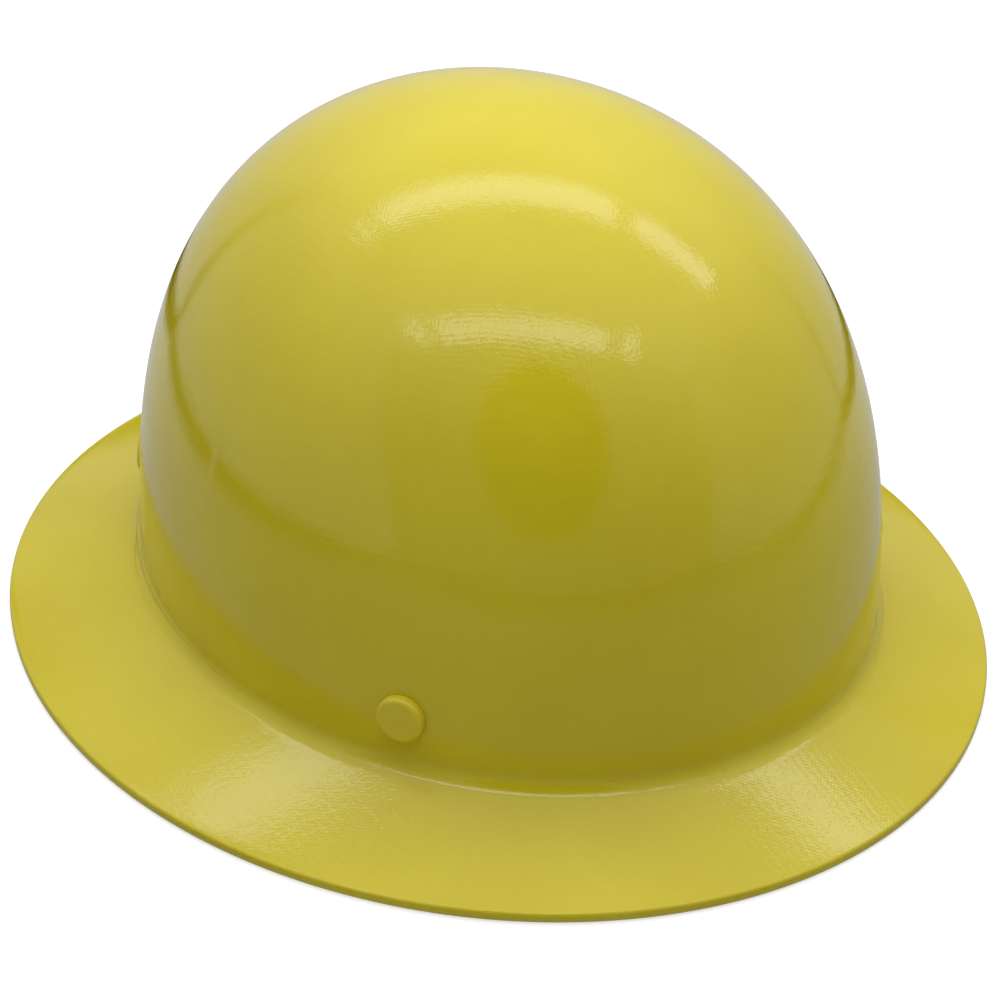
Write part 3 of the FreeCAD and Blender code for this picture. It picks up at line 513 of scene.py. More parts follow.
@dataclass
class Shell:
    """Dome and brim as one closed wall, by the formulas of the real shape. Millimetres and degrees."""

    brim_length: float = 333.0
    brim_width: float = 295.0
    brim_edge: float = 3.0
    brim_land: float = 2.6
    brim_slope: float = 18.0
    brim_rise: float = 14.2
    rim_round: float = 1.0
    crown_middle: float = -9.7
    crown_half_width: float = 107.2
    crown_front: float = 124.0
    crown_rear: float = 134.0
    crown_height: float = 165.0
    crown_fullness: float = 2.78
    crown_fillet: float = 6.0
    wall: float = 2.4
    columns: int = 288
    dome_rows: int = 72
    fillet_rows: int = 9
    brim_rows: int = 14
    rim_rows: int = 6
    finish: PaintedLaminate = field(default_factory=PaintedLaminate)

    def radius(self, height: Points, inset: float) -> Points:
        """Half width of the dome: (half - inset) times the root of 1 - (z / top) to the fullness."""
        share = np.asarray(height) / (self.crown_height - inset)
        return (self.crown_half_width - inset) * np.sqrt(1 - share**self.crown_fullness)

    def crown_side(self, inset: float) -> Points:
        """Side outline of the dome and its fillet.

        Args:
            inset: How far inside the outer surface it lies.

        Returns:
            (half width, height) pairs from just beside the top down to where the brim begins.
        """
        slope = math.radians(self.brim_slope)
        top = self.crown_height - inset
        half = self.crown_half_width - inset
        fillet = self.crown_fillet + inset
        foot_height = self.brim_rise - inset * math.cos(slope)
        low = foot_height + fillet * math.cos(slope)
        share = low / top
        root = math.sqrt(1 - share**self.crown_fullness)
        fall = -half * self.crown_fullness / 2 * share ** (self.crown_fullness - 1) / top / root
        outward = np.array([1.0, -fall]) / math.hypot(1.0, fall)
        centre = np.array([half * root, low]) + outward * fillet
        begin = math.asin(share ** (self.crown_fullness / 2))
        turn = np.linspace(math.pi / 2, begin, self.dome_rows + 1)[1:]
        dome = np.stack([half * np.cos(turn), top * np.sin(turn) ** (2 / self.crown_fullness)], axis=1)
        wall_angle = math.atan2(-outward[1], -outward[0]) + 2 * math.pi
        foot_angle = 1.5 * math.pi - slope
        turn = np.linspace(wall_angle, foot_angle, self.fillet_rows + 1)[1:]
        bend = centre + fillet * np.stack([np.cos(turn), np.sin(turn)], axis=1)
        return np.concatenate([dome, bend])

    def crown_grid(self, inset: float) -> Points:
        """Dome and fillet as rows of points: each row is an oval of two half ellipses."""
        side = self.crown_side(inset)
        turn = np.linspace(0, 2 * math.pi, self.columns, endpoint=False)
        half = self.crown_half_width - inset
        reach = np.where(np.sin(turn) > 0, self.crown_rear - inset, self.crown_front - inset) / half
        x = side[:, :1] * np.cos(turn)
        y = self.crown_middle + side[:, :1] * np.sin(turn) * reach
        return np.stack([x, y, np.broadcast_to(side[:, 1:], x.shape)], axis=-1)

    def brim_oval(self, inset: float, height: float) -> Points:
        """One ellipse of the brim's outline, made smaller by an inset."""
        turn = np.linspace(0, 2 * math.pi, self.columns, endpoint=False)
        return np.stack([(self.brim_width / 2 - inset) * np.cos(turn),
                         (self.brim_length / 2 - inset) * np.sin(turn), np.full_like(turn, height)], axis=-1)

    def rim(self) -> list[Points]:
        """Rounded edge of the brim from its top down to the flat ring that it stands on."""
        slope = math.radians(self.brim_slope)
        centre = self.brim_edge - self.rim_round * math.tan((math.pi / 2 - slope) / 2)
        rings = []
        for turn in np.linspace(math.pi / 2 - slope, 0, self.rim_rows):
            rings.append(self.brim_oval(self.rim_round * (1 - math.cos(turn)),
                                        centre + self.rim_round * math.sin(turn)))
        for turn in np.linspace(0, math.pi / 2, self.rim_rows):
            rings.append(self.brim_oval(self.rim_round * (1 - math.cos(turn)),
                                        self.rim_round * (1 - math.sin(turn))))
        return rings

    def surface(self) -> Points:
        """All rows of the closed wall, from the outer top over the rim to the inner top."""
        outer = self.crown_grid(0)
        inner = self.crown_grid(self.wall)
        rim = self.rim()
        land = self.brim_oval(self.brim_land, 0)
        share = np.linspace(0, 1, self.brim_rows + 1)[1:-1, None, None]
        brim_top = outer[-1] * (1 - share) + rim[0] * share
        brim_under = land * (1 - share) + inner[-1] * share
        return np.concatenate([outer, brim_top, np.stack(rim), land[None], brim_under, inner[::-1]])

    def build(self) -> bpy.types.Object:
        """Make the shell: the grid's rows are joined, and each top is closed by a fan."""
        rows = self.surface()
        count = len(rows)
        tops = np.array([[0, self.crown_middle, self.crown_height],
                         [0, self.crown_middle, self.crown_height - self.wall]])
        points = np.concatenate([rows.reshape(-1, 3), tops])
        quads = grid_faces(count, self.columns, False, True)[:, ::-1]
        ring = np.arange(self.columns)
        following = (ring + 1) % self.columns
        last = (count - 1) * self.columns
        outer_top = np.full_like(ring, count * self.columns)
        caps = [np.stack([outer_top, ring, following], axis=1),
                np.stack([outer_top + 1, last + following, last + ring], axis=1)]
        piece = make_piece("shell_laminate", points * MM, [*quads, *caps[0], *caps[1]])
        self.add_maps(piece, points)
        dress(piece, self.finish.material())
        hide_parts("shell")
        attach(piece, "root")
        return piece

    def add_maps(self, piece: bpy.types.Object, points: Points) -> None:
        """Map the wall by its way round and its height, and note how level each point lies."""
        turn = np.arctan2(points[:, 1] - self.crown_middle, points[:, 0])
        set_map(piece, "wall", np.stack([turn * self.crown_half_width, points[:, 2]], axis=1) * MM)
        normals = np.zeros(len(piece.data.vertices) * 3, np.float32)
        piece.data.vertices.foreach_get("normal", normals)
        set_attribute(piece, "level", np.abs(normals.reshape(-1, 3)[:, 2]))
        ring = np.arange(len(points)) // self.columns
        rim_end = self.dome_rows + self.fillet_rows + self.brim_rows - 1 + 2 * self.rim_rows
        set_attribute(piece, "inside", (ring > rim_end) & (ring * self.columns < len(points) - 2)
                      | (np.arange(len(points)) == len(points) - 1))


@dataclass
class Camera:
    """The viewpoint, fitted to the shell's outline. Degrees and millimetres, and pixels of a 1000 pixel frame."""

    azimuth: float = -36.19
    elevation: float = 29.11
    roll: float = 0.74
    pan: float = -0.19
    tilt: float = 1.82
    distance: float = 585.43
    focal_px: float = 1912.89
    frame_px: float = 1000.0
    sensor: float = 36.0
    aim: tuple[float, float, float] = (0.0, -9.7, 55.0)

    def back(self) -> Points:
        """Direction from the point that the camera aims at to the camera, before roll, pan and tilt."""
        turn, lift = math.radians(self.azimuth), math.radians(self.elevation)
        return np.array([math.sin(turn) * math.cos(lift), -math.cos(turn) * math.cos(lift), math.sin(lift)])

    def axes(self) -> Points:
        """Rows are the view's right, down and forward directions, after roll, pan and tilt."""
        back, turn = self.back(), math.radians(self.azimuth)
        right = np.array([math.cos(turn), math.sin(turn), 0.0])
        base = np.stack([right, -np.cross(back, right), -back])
        rolled = np.array(Matrix.Rotation(math.radians(self.roll), 3, "Z"))
        panned = np.array(Matrix.Rotation(-math.radians(self.pan), 3, "Y"))
        tilted = np.array(Matrix.Rotation(math.radians(self.tilt), 3, "X"))
        return tilted @ panned @ rolled @ base

    def build(self) -> None:
        """Add the camera to the scene."""
        right, down, forward = self.axes()
        data = bpy.data.cameras.new("camera")
        data.sensor_width = self.sensor
        data.lens = self.focal_px / self.frame_px * self.sensor
        data.clip_start = 0.01
        data.clip_end = 50.0
        camera = bpy.data.objects.new("camera", data)
        turned = Matrix([right, -down, -forward]).transposed()
        place = (np.array(self.aim) + self.back() * self.distance) * MM
        camera.matrix_world = Matrix.Translation(Vector(place)) @ turned.to_4x4()
        bpy.context.scene.collection.objects.link(camera)
        bpy.context.scene.camera = camera


@dataclass
class LightTent:
    """A plain white light tent: a soft ceiling, two light strips and pale walls that only the gloss shows.

    Places are (front, side, height) in metres: front points at the camera's side of the hat.
    """

    heading: float = -38.5
    ceiling: float = 0.80
    bottom: tuple[float, float, float, float] = (0.50, -0.34, -0.24, 0.52)
    top: tuple[float, float, float, float] = (0.50, -0.80, -0.62, 0.80)
    opening: tuple[float, float, float, float] = (0.011, 0.378, 0.185, 0.260)
    seam: float = 0.026
    ceiling_glow: tuple[float, float] = (0.95, 1.1)
    ceiling_light: float = 1.60
    strip_glow: float = 2.5
    ambient: float = 0.18
    front_glow: tuple[float, float] = (0.27, 0.8)
    side_glow: tuple[float, float] = (0.55, 0.95)
    ground_glow: tuple[float, float] = (0.60, 0.28)
    stand_off: float = 0.004
    ceiling_lamp: tuple[float, float, float, float] = (-0.12, 0.06, 1.15, 0.85)
    strips: tuple[tuple[float, float, float], ...] = (
        (-0.165, -0.68, -0.62), (-0.175, -0.55, 0.28), (-0.175, 0.34, 0.80),
        (0.43, -0.60, -0.52), (0.45, -0.45, 0.30), (0.42, 0.37, 0.44))
    strip_depths: tuple[float, float] = (0.14, 0.07)
    floor_half: float = 8.0
    floor_grey: float = 0.6
    floor_lift: tuple[float, float] = (0.6, 1.0)

    def place(self, front: float, side: float, height: float) -> Vector:
        """A point of the tent in the hat's frame."""
        turn = math.radians(self.heading)
        return Vector((front * math.sin(turn) + side * math.cos(turn),
                       -front * math.cos(turn) + side * math.sin(turn), height))

    def glow(self, name: str, low: float, high: float,
             way: Optional[tuple[float, float, float, float]] = None) -> bpy.types.Material:
        """Light that changes over a panel.

        Args:
            name: Name of the material.
            low: Its strength at the floor, or where a level panel's way starts.
            high: Its strength at the ceiling, or where that way ends.
            way: For a level panel, the shares of front and side in its way, and the way's start and end.

        Returns:
            The material.
        """
        material = bpy.data.materials.new(name)
        material.use_nodes = True
        graph = Graph(material.node_tree)
        x, y, height = graph.split(graph.place())
        turn = math.radians(self.heading)
        front, side = x * math.sin(turn) - y * math.cos(turn), x * math.cos(turn) + y * math.sin(turn)
        share = (front * way[0] + side * way[1]).between(*way[2:]) if way else height.between(0.15, self.ceiling)
        strength = share * (high - low) + low
        emission = graph.node("ShaderNodeEmission", {}, {"Strength": strength})
        graph.node("ShaderNodeOutputMaterial", {}, {"Surface": emission.outputs[0]})
        return material

    def panel(self, name: str, corners: Sequence[Vector], material: bpy.types.Material) -> None:
        """A flat panel that only reflections see."""
        piece = make_piece(name, np.array([list(corner) for corner in corners]), [range(len(corners))])
        dress(piece, material)
        for ray in ("camera", "diffuse", "transmission", "volume_scatter", "shadow"):
            setattr(piece, "visible_" + ray, False)

    def corner(self, level: str, front: int, side: int) -> Vector:
        """A corner of the tent's floor or ceiling: front and side are 0 or 1."""
        rect, height = (self.bottom, 0.0) if level == "floor" else (self.top, self.ceiling)
        return self.place(rect[0] if front else rect[2], rect[3] if side else rect[1], height)

    def inward(self, corner: Vector) -> Vector:
        """The small step from a corner towards the tent's axis by which a seam stands off its wall."""
        return (self.place(0, 0, 0.3) - corner).normalized() * self.stand_off

    def walls(self) -> None:
        """Four leaning walls and a ceiling, with dark seams where they meet, and the opening in front."""
        sides = self.glow("tent_side", *self.side_glow)
        dark = self.glow("tent_seam", 0.0, 0.0)
        order = [(1, 0), (1, 1), (0, 1), (0, 0)]
        lift = Vector((0, 0, self.seam))
        for index, here in enumerate(order):
            there = order[(index + 1) % len(order)]
            low = [self.corner("floor", *here), self.corner("floor", *there)]
            high = [self.corner("ceiling", *there), self.corner("ceiling", *here)]
            wall = self.glow("tent_front", *self.front_glow) if index == 0 else sides
            self.panel(f"tent_wall_{index}", low + high, wall)
            along = (low[1] - low[0]).normalized() * self.seam
            foot, head = low[0] + self.inward(low[0]), high[1] + self.inward(high[1])
            self.panel(f"tent_seam_{index}", [foot, foot + along, head + along, head], dark)
            sill = [corner + self.inward(corner) for corner in low]
            self.panel(f"tent_sill_{index}", [*sill, sill[1] + lift, sill[0] + lift], dark)
        raised = Vector((0, 0, 0.0003))
        corners = [self.corner("floor", *place) + raised for place in order]
        self.panel("tent_ground", corners, self.glow("tent_ground", *self.ground_glow, way=(1.0, 0.0, -0.25, 0.2)))
        ceiling = self.glow("tent_ceiling", *self.ceiling_glow, way=(1.0, 1.0, -0.65, -0.2))
        self.panel("tent_ceiling", [self.corner("ceiling", *place) for place in order], ceiling)
        side, height, half_width, half_height = self.opening
        front = self.bottom[0] - 2 * self.stand_off
        oval = [self.place(front, side + half_width * math.cos(turn), height + half_height * math.sin(turn))
                for turn in np.linspace(0, 2 * math.pi, 64, endpoint=False)]
        self.panel("tent_opening", oval, self.glow("tent_dark", 0.0, 0.0))

    def area_light(self, name: str, place: Vector, size: tuple[float, float], radiance: float,
                   glossy: bool) -> None:
        """A rectangular lamp that shines down.

        Args:
            name: Name of the lamp.
            place: Its middle.
            size: Its width across the camera's view and its depth.
            radiance: Light that it gives off in each direction.
            glossy: Whether reflections show it.
        """
        data = bpy.data.lights.new(name, "AREA")
        data.shape = "RECTANGLE"
        data.size, data.size_y = size
        data.energy = radiance * math.pi * size[0] * size[1]
        lamp = bpy.data.objects.new(name, data)
        lamp.matrix_world = Matrix.Translation(place) @ Matrix.Rotation(math.radians(self.heading), 4, "Z")
        lamp.visible_glossy = glossy
        bpy.context.scene.collection.objects.link(lamp)

    def lights(self) -> None:
        """The soft ceiling, and two strips of lamps across it with gaps near their ends, brighter in the middle."""
        front, side, width, depth = self.ceiling_lamp
        middle = self.place(front, side, self.ceiling)
        self.area_light("ceiling_lamp", middle, (width, depth), self.ceiling_light, False)
        height = self.ceiling - 0.01
        for index, (front, start, end) in enumerate(self.strips):
            middle = self.place(front, (start + end) / 2, height)
            for depth in self.strip_depths:
                self.area_light(f"strip_lamp_{index}_{depth}", middle, (end - start, depth), self.strip_glow, True)

    def world(self) -> None:
        """White where the camera looks past everything, and a low even light elsewhere."""
        world = bpy.data.worlds.new("studio")
        bpy.context.scene.world = world
        world.use_nodes = True
        graph = Graph(world.node_tree)
        path = graph.node("ShaderNodeLightPath")
        seen = Wire(graph, path.outputs["Is Camera Ray"]).math("MAXIMUM", Wire(graph, path.outputs["Is Glossy Ray"]))
        seen = seen.math("MAXIMUM", Wire(graph, path.outputs["Is Transmission Ray"]))
        strength = seen * (1.0 - self.ambient) + self.ambient
        background = graph.node("ShaderNodeBackground", {}, {"Color": (1, 1, 1, 1), "Strength": strength})
        graph.node("ShaderNodeOutputWorld", {}, {"Surface": background.outputs[0]})

    def floor(self) -> None:
        """A plain pale floor that stays white to the camera and keeps the hat's soft shadow."""
        corners = np.array([[-1, -1, 0], [1, -1, 0], [1, 1, 0], [-1, 1, 0]]) * self.floor_half
        piece = make_piece("floor", corners, [range(4)])
        material = bpy.data.materials.new("pale_floor")
        material.use_nodes = True
        graph = Graph(material.node_tree)
        path = graph.node("ShaderNodeLightPath")
        seen = Wire(graph, path.outputs["Is Camera Ray"])
        lit = graph.node("ShaderNodeBsdfDiffuse", {}, {"Color": (*[self.floor_grey] * 3, 1.0)})
        x, y, _ = graph.split(graph.place())
        distant = (x * x + y * y).math("SQRT").between(0.25, 1.2)
        near, far = self.floor_lift
        lift = graph.node("ShaderNodeEmission", {}, {"Strength": seen * (distant * (far - near) + near)})
        both = graph.node("ShaderNodeAddShader", {}, {0: lit.outputs[0], 1: lift.outputs[0]})
        graph.node("ShaderNodeOutputMaterial", {}, {"Surface": both.outputs[0]})
        dress(piece, material)

    def build(self) -> None:
        """Set up the floor, the tent, the lamps and the world."""
        self.world()
        self.floor()
        self.walls()
        self.lights()
        bpy.context.scene.view_settings.view_transform = "Standard"


class Finish(Enum):
    """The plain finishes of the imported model's own nodes."""

    BUTTON = GlossyButton()
    BLACK = MouldedPlastic("black_plastic", (0.03, 0.03, 0.032), 0.45)
    GREY = MouldedPlastic("grey_plastic", (0.075, 0.08, 0.085), 0.42)
    ACETAL = MouldedPlastic("acetal", (0.60, 0.58, 0.50), 0.35, 0.8, 0.01)
    STEEL = PlatedSteel()


@dataclass
class PlainNodes:
    """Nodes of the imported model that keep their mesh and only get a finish."""

    finishes: dict[str, Finish] = field(default_factory=lambda: {
        "button_rivet": Finish.BUTTON, "rivet_washers": Finish.STEEL, "socket": Finish.BLACK,
        "suspension_key": Finish.GREY, "crown_strap": Finish.GREY, "headband": Finish.GREY,
        "brow_pad": Finish.BLACK, "pivot_stud": Finish.GREY, "nape_eye": Finish.GREY,
        "nape_strap": Finish.GREY, "ratchet_case": Finish.BLACK, "ratchet_cover": Finish.BLACK,
        "pinion": Finish.ACETAL, "ratchet_knob": Finish.BLACK, "click_spring": Finish.ACETAL,
        "knob_screw": Finish.STEEL,
    })

    def build(self) -> int:
        """Dress every node whose name starts with one of the keys, and return how many there are."""
        made = {finish: finish.value.material() for finish in Finish}
        count = 0
        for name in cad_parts:
            for start, finish in self.finishes.items():
                if name.startswith(start):
                    dress_node(name, made[finish])
                    count += 1
        return count


@dataclass(frozen=True)
class KeyPlace:
    """Where a key hangs inside the wall: its foot, and the level way from there towards the head. Millimetres."""

    origin: tuple[float, float, float]
    inward: tuple[float, float, float]

    @classmethod
    def at(cls, shell: Shell, heading: float, side: int, height: float = 32.1) -> "KeyPlace":
        """Find a key's place from its rivet.

        At a height z the wall is (x / half)^2 + (y / reach)^2 = 1 - (z / top)^fullness, and the key hangs along the
        level part of that surface's normal, one wall inside it.

        Args:
            shell: The shell that it hangs in.
            heading: Degrees from the front towards the side.
            side: 1 for the wearer's left, -1 for the right.
            height: Height of the rivet.

        Returns:
            The place.
        """
        turn = math.radians(heading)
        across, along = math.sin(turn), -math.cos(turn)
        reach = shell.crown_front if along < 0 else shell.crown_rear
        share = (height / shell.crown_height) ** shell.crown_fullness
        radius = math.sqrt((1 - share) / ((across / shell.crown_half_width) ** 2 + (along / reach) ** 2))
        x, y = across * radius, along * radius
        out = np.array([x / shell.crown_half_width**2, y / reach**2])
        out /= np.linalg.norm(out)
        foot = np.array([x, shell.crown_middle + y]) - out * shell.wall
        return cls((side * foot[0], foot[1], 0.0), (-side * out[0], -out[1], 0.0))


def tape_outline(width: float, thick: float, flat_points: int = 9, end_points: int = 5) -> Points:
    """Cross-section of a tape: two flat sides joined by half circles.

    Args:
        width: Whole width.
        thick: Whole thickness.
        flat_points: Points on each flat side.
        end_points: Points on each half circle.

    Returns:
        (across, through) of each point, anticlockwise.
    """
    half = (width - thick) / 2
    flat = np.linspace(-half, half, flat_points)
    turn = np.linspace(-math.pi / 2, math.pi / 2, end_points + 2)[1:-1]
    round_end = np.stack([half + thick / 2 * np.cos(turn), thick / 2 * np.sin(turn)], axis=1)
    low = np.stack([flat, np.full_like(flat, -thick / 2)], axis=1)
    return np.concatenate([low, round_end, -low, -round_end])


def sweep(places: Points, sides: Points, throughs: Points, outline: Points) -> Points:
    """Carry an outline along a path: point = place + side times across + through times depth.

    Args:
        places: Middle of each section.
        sides: Direction of the outline's first axis at each section.
        throughs: Direction of its second axis.
        outline: (across, depth) of each point, for all sections or for each.

    Returns:
        Rows of points, one row for each section.
    """
    across, depth = outline[..., 0:1], outline[..., 1:2]
    return places[:, None] + sides[:, None] * across + throughs[:, None] * depth


def outward_quads(points: Points, quads: np.ndarray) -> np.ndarray:
    """Turn a closed surface's quads over if its volume, the sum of the corner products, comes out negative."""
    a, b, c, d = (points[quads[:, index]] for index in range(4))
    volume = np.einsum("ij,ij->", a, np.cross(b, c)) + np.einsum("ij,ij->", a, np.cross(c, d))
    return quads if volume > 0 else quads[:, ::-1]


def tube_faces(grid: Points) -> list[np.ndarray]:
    """Faces of a tube with a flat cap at each end.

    Args:
        grid: Rows of points, one closed ring for each row.

    Returns:
        The quads between the rows and the two caps, all seen anticlockwise from outside.
    """
    rows, count = grid.shape[:2]
    quads = grid_faces(rows, count, False, True)
    body = outward_quads(grid.reshape(-1, 3), quads)
    first, last = np.arange(count), (rows - 1) * count + np.arange(count)
    caps = [first[::-1], last] if body is quads else [first, last[::-1]]
    return [*body, *caps]


@dataclass
class CrownStrap:
    """Webbing that arches from one key to the opposite one, with a sewn loop round each key's bar. Millimetres."""

    name: str
    ends: tuple[KeyPlace, KeyPlace]
    top: float
    width: float = 19.0
    thick: float = 1.2
    ease: float = 0.1
    play: float = 0.1
    plate_back: float = 10.2
    plate: float = 2.2
    key_top: float = 62.0
    bar: float = 4.5
    sections: int = 121
    loop_sections: int = 40

    def arch(self) -> tuple[Points, Points]:
        """Rows of the arch, and the distance of each row from the nearer end.

        The middle line is centre + level * span * cos(t) + up * rise * sin(t). Towards each end the tape turns to
        face its key, by a smooth step of how near it is.
        """
        depth = self.plate_back + self.plate + self.play + (self.thick + self.ease) / 2
        feet = [np.array(end.origin) + np.array(end.inward) * depth for end in self.ends]
        start = self.key_top - self.bar / 2
        centre = (feet[0] + feet[1]) / 2 + np.array([0, 0, start])
        reach = (feet[0] - feet[1]) / 2
        span = float(np.linalg.norm(reach))
        level = reach / span
        facing = [math.atan2(-self.ends[0].inward[1], -self.ends[0].inward[0]),
                  math.atan2(self.ends[1].inward[1], self.ends[1].inward[0])]
        flat = math.atan2(level[1], level[0])
        lean = [(angle - flat + math.pi) % (2 * math.pi) - math.pi for angle in facing]
        turn = np.linspace(0, math.pi, self.sections)
        up = np.array([0.0, 0.0, 1.0])
        rise = self.top - start
        places = centre + level * (span * np.cos(turn))[:, None] + up * (rise * np.sin(turn))[:, None]
        tangents = level * (-span * np.sin(turn))[:, None] + up * (rise * np.cos(turn))[:, None]
        tangents /= np.linalg.norm(tangents, axis=1, keepdims=True)
        hold = np.clip(np.abs(np.cos(turn)) * 2 - 1, 0, 1)
        heading = flat + np.where(np.cos(turn) > 0, lean[0], lean[1]) * hold**2 * (3 - 2 * hold)
        sides = np.stack([-np.sin(heading), np.cos(heading), np.zeros_like(heading)], axis=1)
        throughs = np.cross(tangents, sides)
        throughs /= np.linalg.norm(throughs, axis=1, keepdims=True)
        length = np.concatenate([[0], np.cumsum(np.linalg.norm(np.diff(places, axis=0), axis=1))])
        return sweep(places, sides, throughs, tape_outline(self.width, self.thick)), length

    def loop(self, end: KeyPlace) -> Points:
        """Rows of one loop: the tape's outline carried round a rectangle with round corners."""
        thick = self.thick + self.ease
        margin = self.play + thick / 2
        low = np.array([self.plate_back - margin, self.key_top - self.bar - margin])
        high = np.array([self.plate_back + self.plate + margin, self.key_top + margin])
        radius = thick / 2
        quarter = np.linspace(0, math.pi / 2, self.loop_sections // 4)
        corners = [(high[0] - radius, high[1] - radius), (low[0] + radius, high[1] - radius),
                   (low[0] + radius, low[1] + radius), (high[0] - radius, low[1] + radius)]
        turns = np.concatenate([quarter + number * math.pi / 2 for number in range(4)])
        centres = np.repeat(np.array(corners), len(quarter), axis=0)
        out = np.stack([np.cos(turns), np.sin(turns)], axis=1)
        path = centres + radius * out
        inward, up = np.array(end.inward), np.array([0.0, 0.0, 1.0])
        places = np.array(end.origin) + path[:, :1] * inward + path[:, 1:] * up
        throughs = out[:, :1] * inward + out[:, 1:] * up
        sides = np.broadcast_to(np.cross(inward, up), places.shape)
        return sweep(places, sides, throughs, tape_outline(self.width + self.ease, thick))

    def build(self, material: bpy.types.Material) -> bpy.types.Object:
        """Make the strap and its loops as one piece."""
        arch, length = self.arch()
        count = arch.shape[1]
        points, faces = [arch.reshape(-1, 3)], tube_faces(arch)
        start = len(points[0])
        across = [np.tile(tape_outline(self.width, self.thick)[:, 0], len(arch))]
        along = [np.repeat(length, count)]
        near = [np.repeat(np.minimum(length, length[-1] - length), count)]
        for end in self.ends:
            loop = self.loop(end)
            rows = loop.reshape(-1, 3)
            ring = outward_quads(rows, grid_faces(len(loop), loop.shape[1], True, True))
            faces += [*(ring + start)]
            points.append(rows)
            start += len(rows)
            across.append(np.tile(tape_outline(self.width + self.ease, self.thick + self.ease)[:, 0], len(loop)))
            along.append(np.repeat(np.linspace(0, 2 * (self.bar + self.plate), len(loop)), loop.shape[1]))
            near.append(np.full(len(rows), -self.width))
        piece = make_piece(self.name + "_webbing", np.concatenate(points) * MM, faces)
        set_map(piece, "tape", np.stack([np.concatenate(across), np.concatenate(along)], axis=1) * MM)
        set_attribute(piece, "end", np.concatenate(near) * MM)
        dress(piece, material)
        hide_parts(self.name)
        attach(piece, "suspension")
        return piece


@dataclass
class BrowPad:
    """Padded band inside the brow: flat against the headband, crowned towards the head. Millimetres and degrees."""

    half_width: float = 79.0
    front: float = 100.0
    middle: float = -12.0
    gap: float = 0.9
    low: float = 7.5
    high: float = 38.5
    thick: float = 5.0
    border: float = 1.2
    half_angle: float = 42.0
    taper: float = 7.0
    channel: float = 0.5
    channel_place: float = 2.6
    channel_half: float = 0.7
    columns: int = 161
    rows: int = 48

    def build(self, material: bpy.types.Material) -> bpy.types.Object:
        """Make the pad.

        Its thickness is border + (thick - border) * (1 - v^2) * ends, less a narrow channel at the stitching, where v
        runs from -1 to 1 up the pad and ends fades to nothing at both ends.
        """
        turn = np.radians(np.linspace(-90 - self.half_angle, -90 + self.half_angle, self.columns))
        a, b = self.half_width - self.gap, self.front - self.gap
        back = np.stack([a * np.cos(turn), self.middle + b * np.sin(turn), np.zeros_like(turn)], axis=1)
        inward = np.stack([-np.cos(turn) / a, -np.sin(turn) / b, np.zeros_like(turn)], axis=1)
        inward /= np.linalg.norm(inward, axis=1, keepdims=True)
        length = np.concatenate([[0], np.cumsum(np.linalg.norm(np.diff(back, axis=0), axis=1))])
        from_end = np.minimum(length, length[-1] - length)
        ends = np.clip(from_end / self.taper, 0, 1)
        ends = np.sqrt(1 - (1 - ends) ** 2)
        v = -np.cos(np.linspace(0, math.pi, self.rows))
        half = (self.high - self.low) / 2
        border = np.minimum(((1 - np.abs(v)) * half)[None], from_end[:, None])
        face = self.border * np.sqrt(np.clip(1 - v**16, 0, 1)) + (self.thick - self.border) * (1 - v**2)
        channel = self.channel * np.exp(-(((border - self.channel_place) / self.channel_half) ** 2))
        face = (face[None] - channel) * ends[:, None]
        height = (self.low + self.high) / 2 + half * v * (0.93 + 0.07 * ends[:, None])
        up = np.array([0.0, 0.0, 1.0])
        front = back[:, None] + inward[:, None] * np.maximum(face, 0)[..., None] + up * height[..., None]
        rear = (back[:, None] + up * height[..., None])[:, ::-1][:, 1:-1]
        grid = np.concatenate([front, rear], axis=1)
        across = np.concatenate([height, height[:, ::-1][:, 1:-1]], axis=1)
        near = np.concatenate([border, np.full_like(border[:, 1:-1], -9.0)], axis=1)
        piece = make_piece("brow_pad_knit", grid * MM, tube_faces(grid))
        along = np.repeat(length, grid.shape[1])
        set_map(piece, "tape", np.stack([along, across.ravel()], axis=1) * MM)
        set_attribute(piece, "end", near * MM)
        dress(piece, material)
        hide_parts("brow_pad")
        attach(piece, "suspension")
        return piece


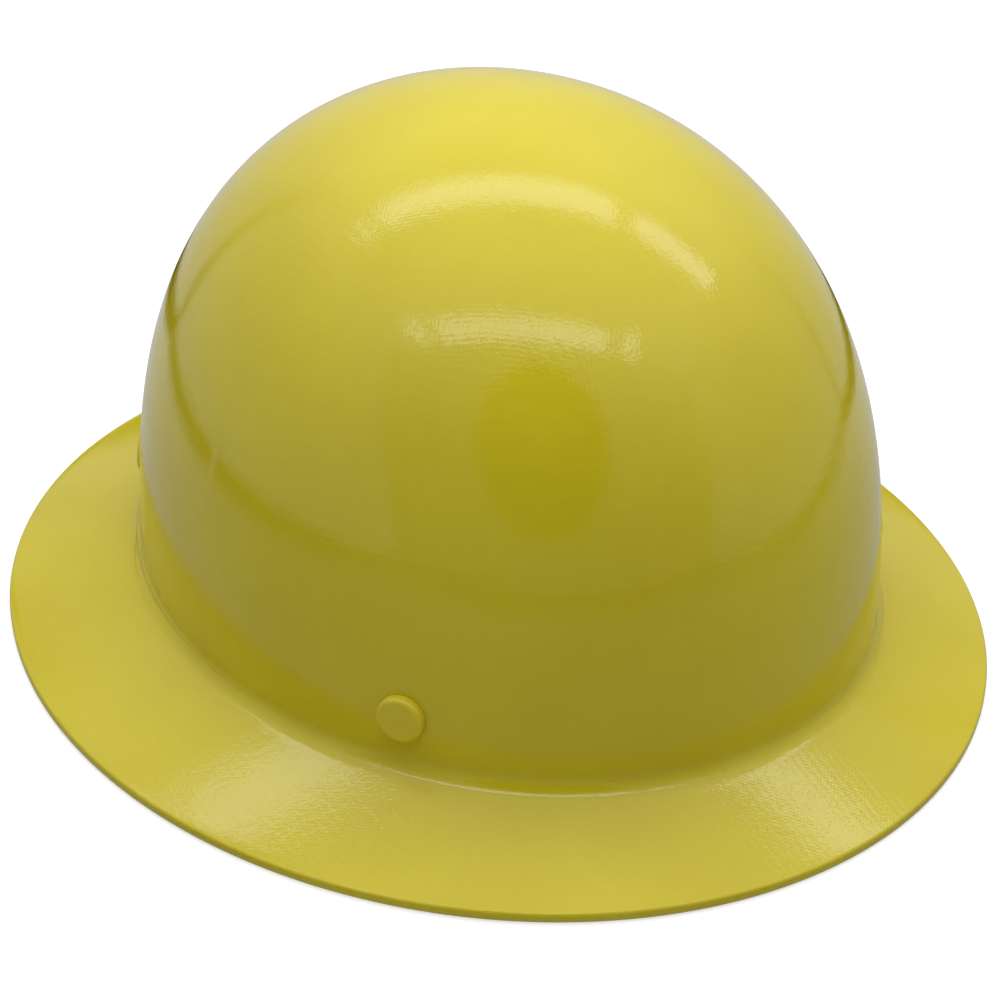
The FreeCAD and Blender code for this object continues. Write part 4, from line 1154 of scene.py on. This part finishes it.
@dataclass
class LivingHinge:
    """Thin web that joins a nape strap to its eye. Millimetres."""

    side: int
    radius: float
    thick: float = 1.4
    height: float = 15.0
    axis_height: float = 16.0
    middle: float = 7.0
    reach: float = 3.6
    gap: float = 0.4
    skin: float = 0.06
    pinch: float = 0.18
    sections: int = 37

    def build(self, material: bpy.types.Material) -> bpy.types.Object:
        """Make the web: a thin sleeve over both ends, pinched by a bell curve where it bends."""
        along = np.linspace(-self.reach, self.reach, self.sections)
        pinch = self.pinch * np.exp(-((along / (0.6 * self.gap)) ** 2))
        outline = tape_outline(self.height + 2 * self.skin, self.thick + 2 * self.skin)
        depth = outline[None, :, 1:] * (1 - pinch / self.thick)[:, None, None]
        outlines = np.concatenate([np.broadcast_to(outline[None, :, :1], depth.shape), depth], axis=2)
        bow = np.where(along > 0, along**2 / (2 * self.radius), 0)
        places = np.stack([self.side * (self.radius - bow), self.middle + along,
                           np.full_like(along, self.axis_height)], axis=1)
        sides = np.broadcast_to(np.array([0.0, 0.0, 1.0]), places.shape)
        throughs = np.broadcast_to(np.array([1.0, 0.0, 0.0]), places.shape)
        grid = sweep(places, sides, throughs, outlines)
        name = "left" if self.side > 0 else "right"
        piece = make_piece("nape_hinge_" + name, grid * MM, tube_faces(grid))
        dress(piece, material)
        start = (self.side * self.radius * MM, (self.middle - self.gap / 2) * MM, self.axis_height * MM)
        end = (self.side * self.radius * MM, (self.middle + self.gap / 2) * MM, self.axis_height * MM)
        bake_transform(piece)
        return piece


@dataclass
class Suspension:
    """The soft and flexible pieces inside the shell."""

    shell: Shell
    front_heading: float = 49.8
    rear_heading: float = 140.8
    strap_top: float = 128.0
    cross_gap: float = 0.9
    strap_radii: tuple[float, float] = (83.9, 81.2)

    def lift(self, ends: tuple[KeyPlace, KeyPlace], strap: CrownStrap) -> float:
        """How much higher the upper strap crosses: its thickness, the gap and the lower strap's bend."""
        span = math.dist(ends[0].origin, ends[1].origin) / 2 - strap.plate_back
        bend = span**2 / (strap.top - strap.key_top)
        return strap.thick + self.cross_gap + (strap.width / 2) ** 2 / (2 * bend)

    def build(self) -> list[bpy.types.Object]:
        """Make the two crown straps, the brow pad and the two living hinges."""
        tape, knit = WovenTape().material(), BrushedKnit().material()
        lower = (KeyPlace.at(self.shell, self.front_heading, 1), KeyPlace.at(self.shell, self.rear_heading, -1))
        upper = (KeyPlace.at(self.shell, self.front_heading, -1), KeyPlace.at(self.shell, self.rear_heading, 1))
        below = CrownStrap("crown_strap_lower", lower, self.strap_top)
        above = CrownStrap("crown_strap_upper", upper, self.strap_top + self.lift(lower, below))
        grey = Finish.GREY.value.material()
        hinges = [LivingHinge(side, radius) for side, radius in zip((1, -1), self.strap_radii)]
        return [below.build(tape), above.build(tape), BrowPad().build(knit), *(h.build(grey) for h in hinges)]


def main() -> None:
    """Build the hat's looks and the studio, and report each piece."""
    logging.basicConfig(level=logging.INFO, format="%(name)s: %(message)s")
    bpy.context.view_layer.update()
    LOG.info("dressed %d nodes", PlainNodes().build())
    shell = Shell()
    for piece in (shell.build(), *Suspension(shell).build()):
        LOG.info("made %s with %d faces", piece.name, len(piece.data.polygons))
    LightTent().build()
    Camera().build()


if __name__ == "__main__":
    main()
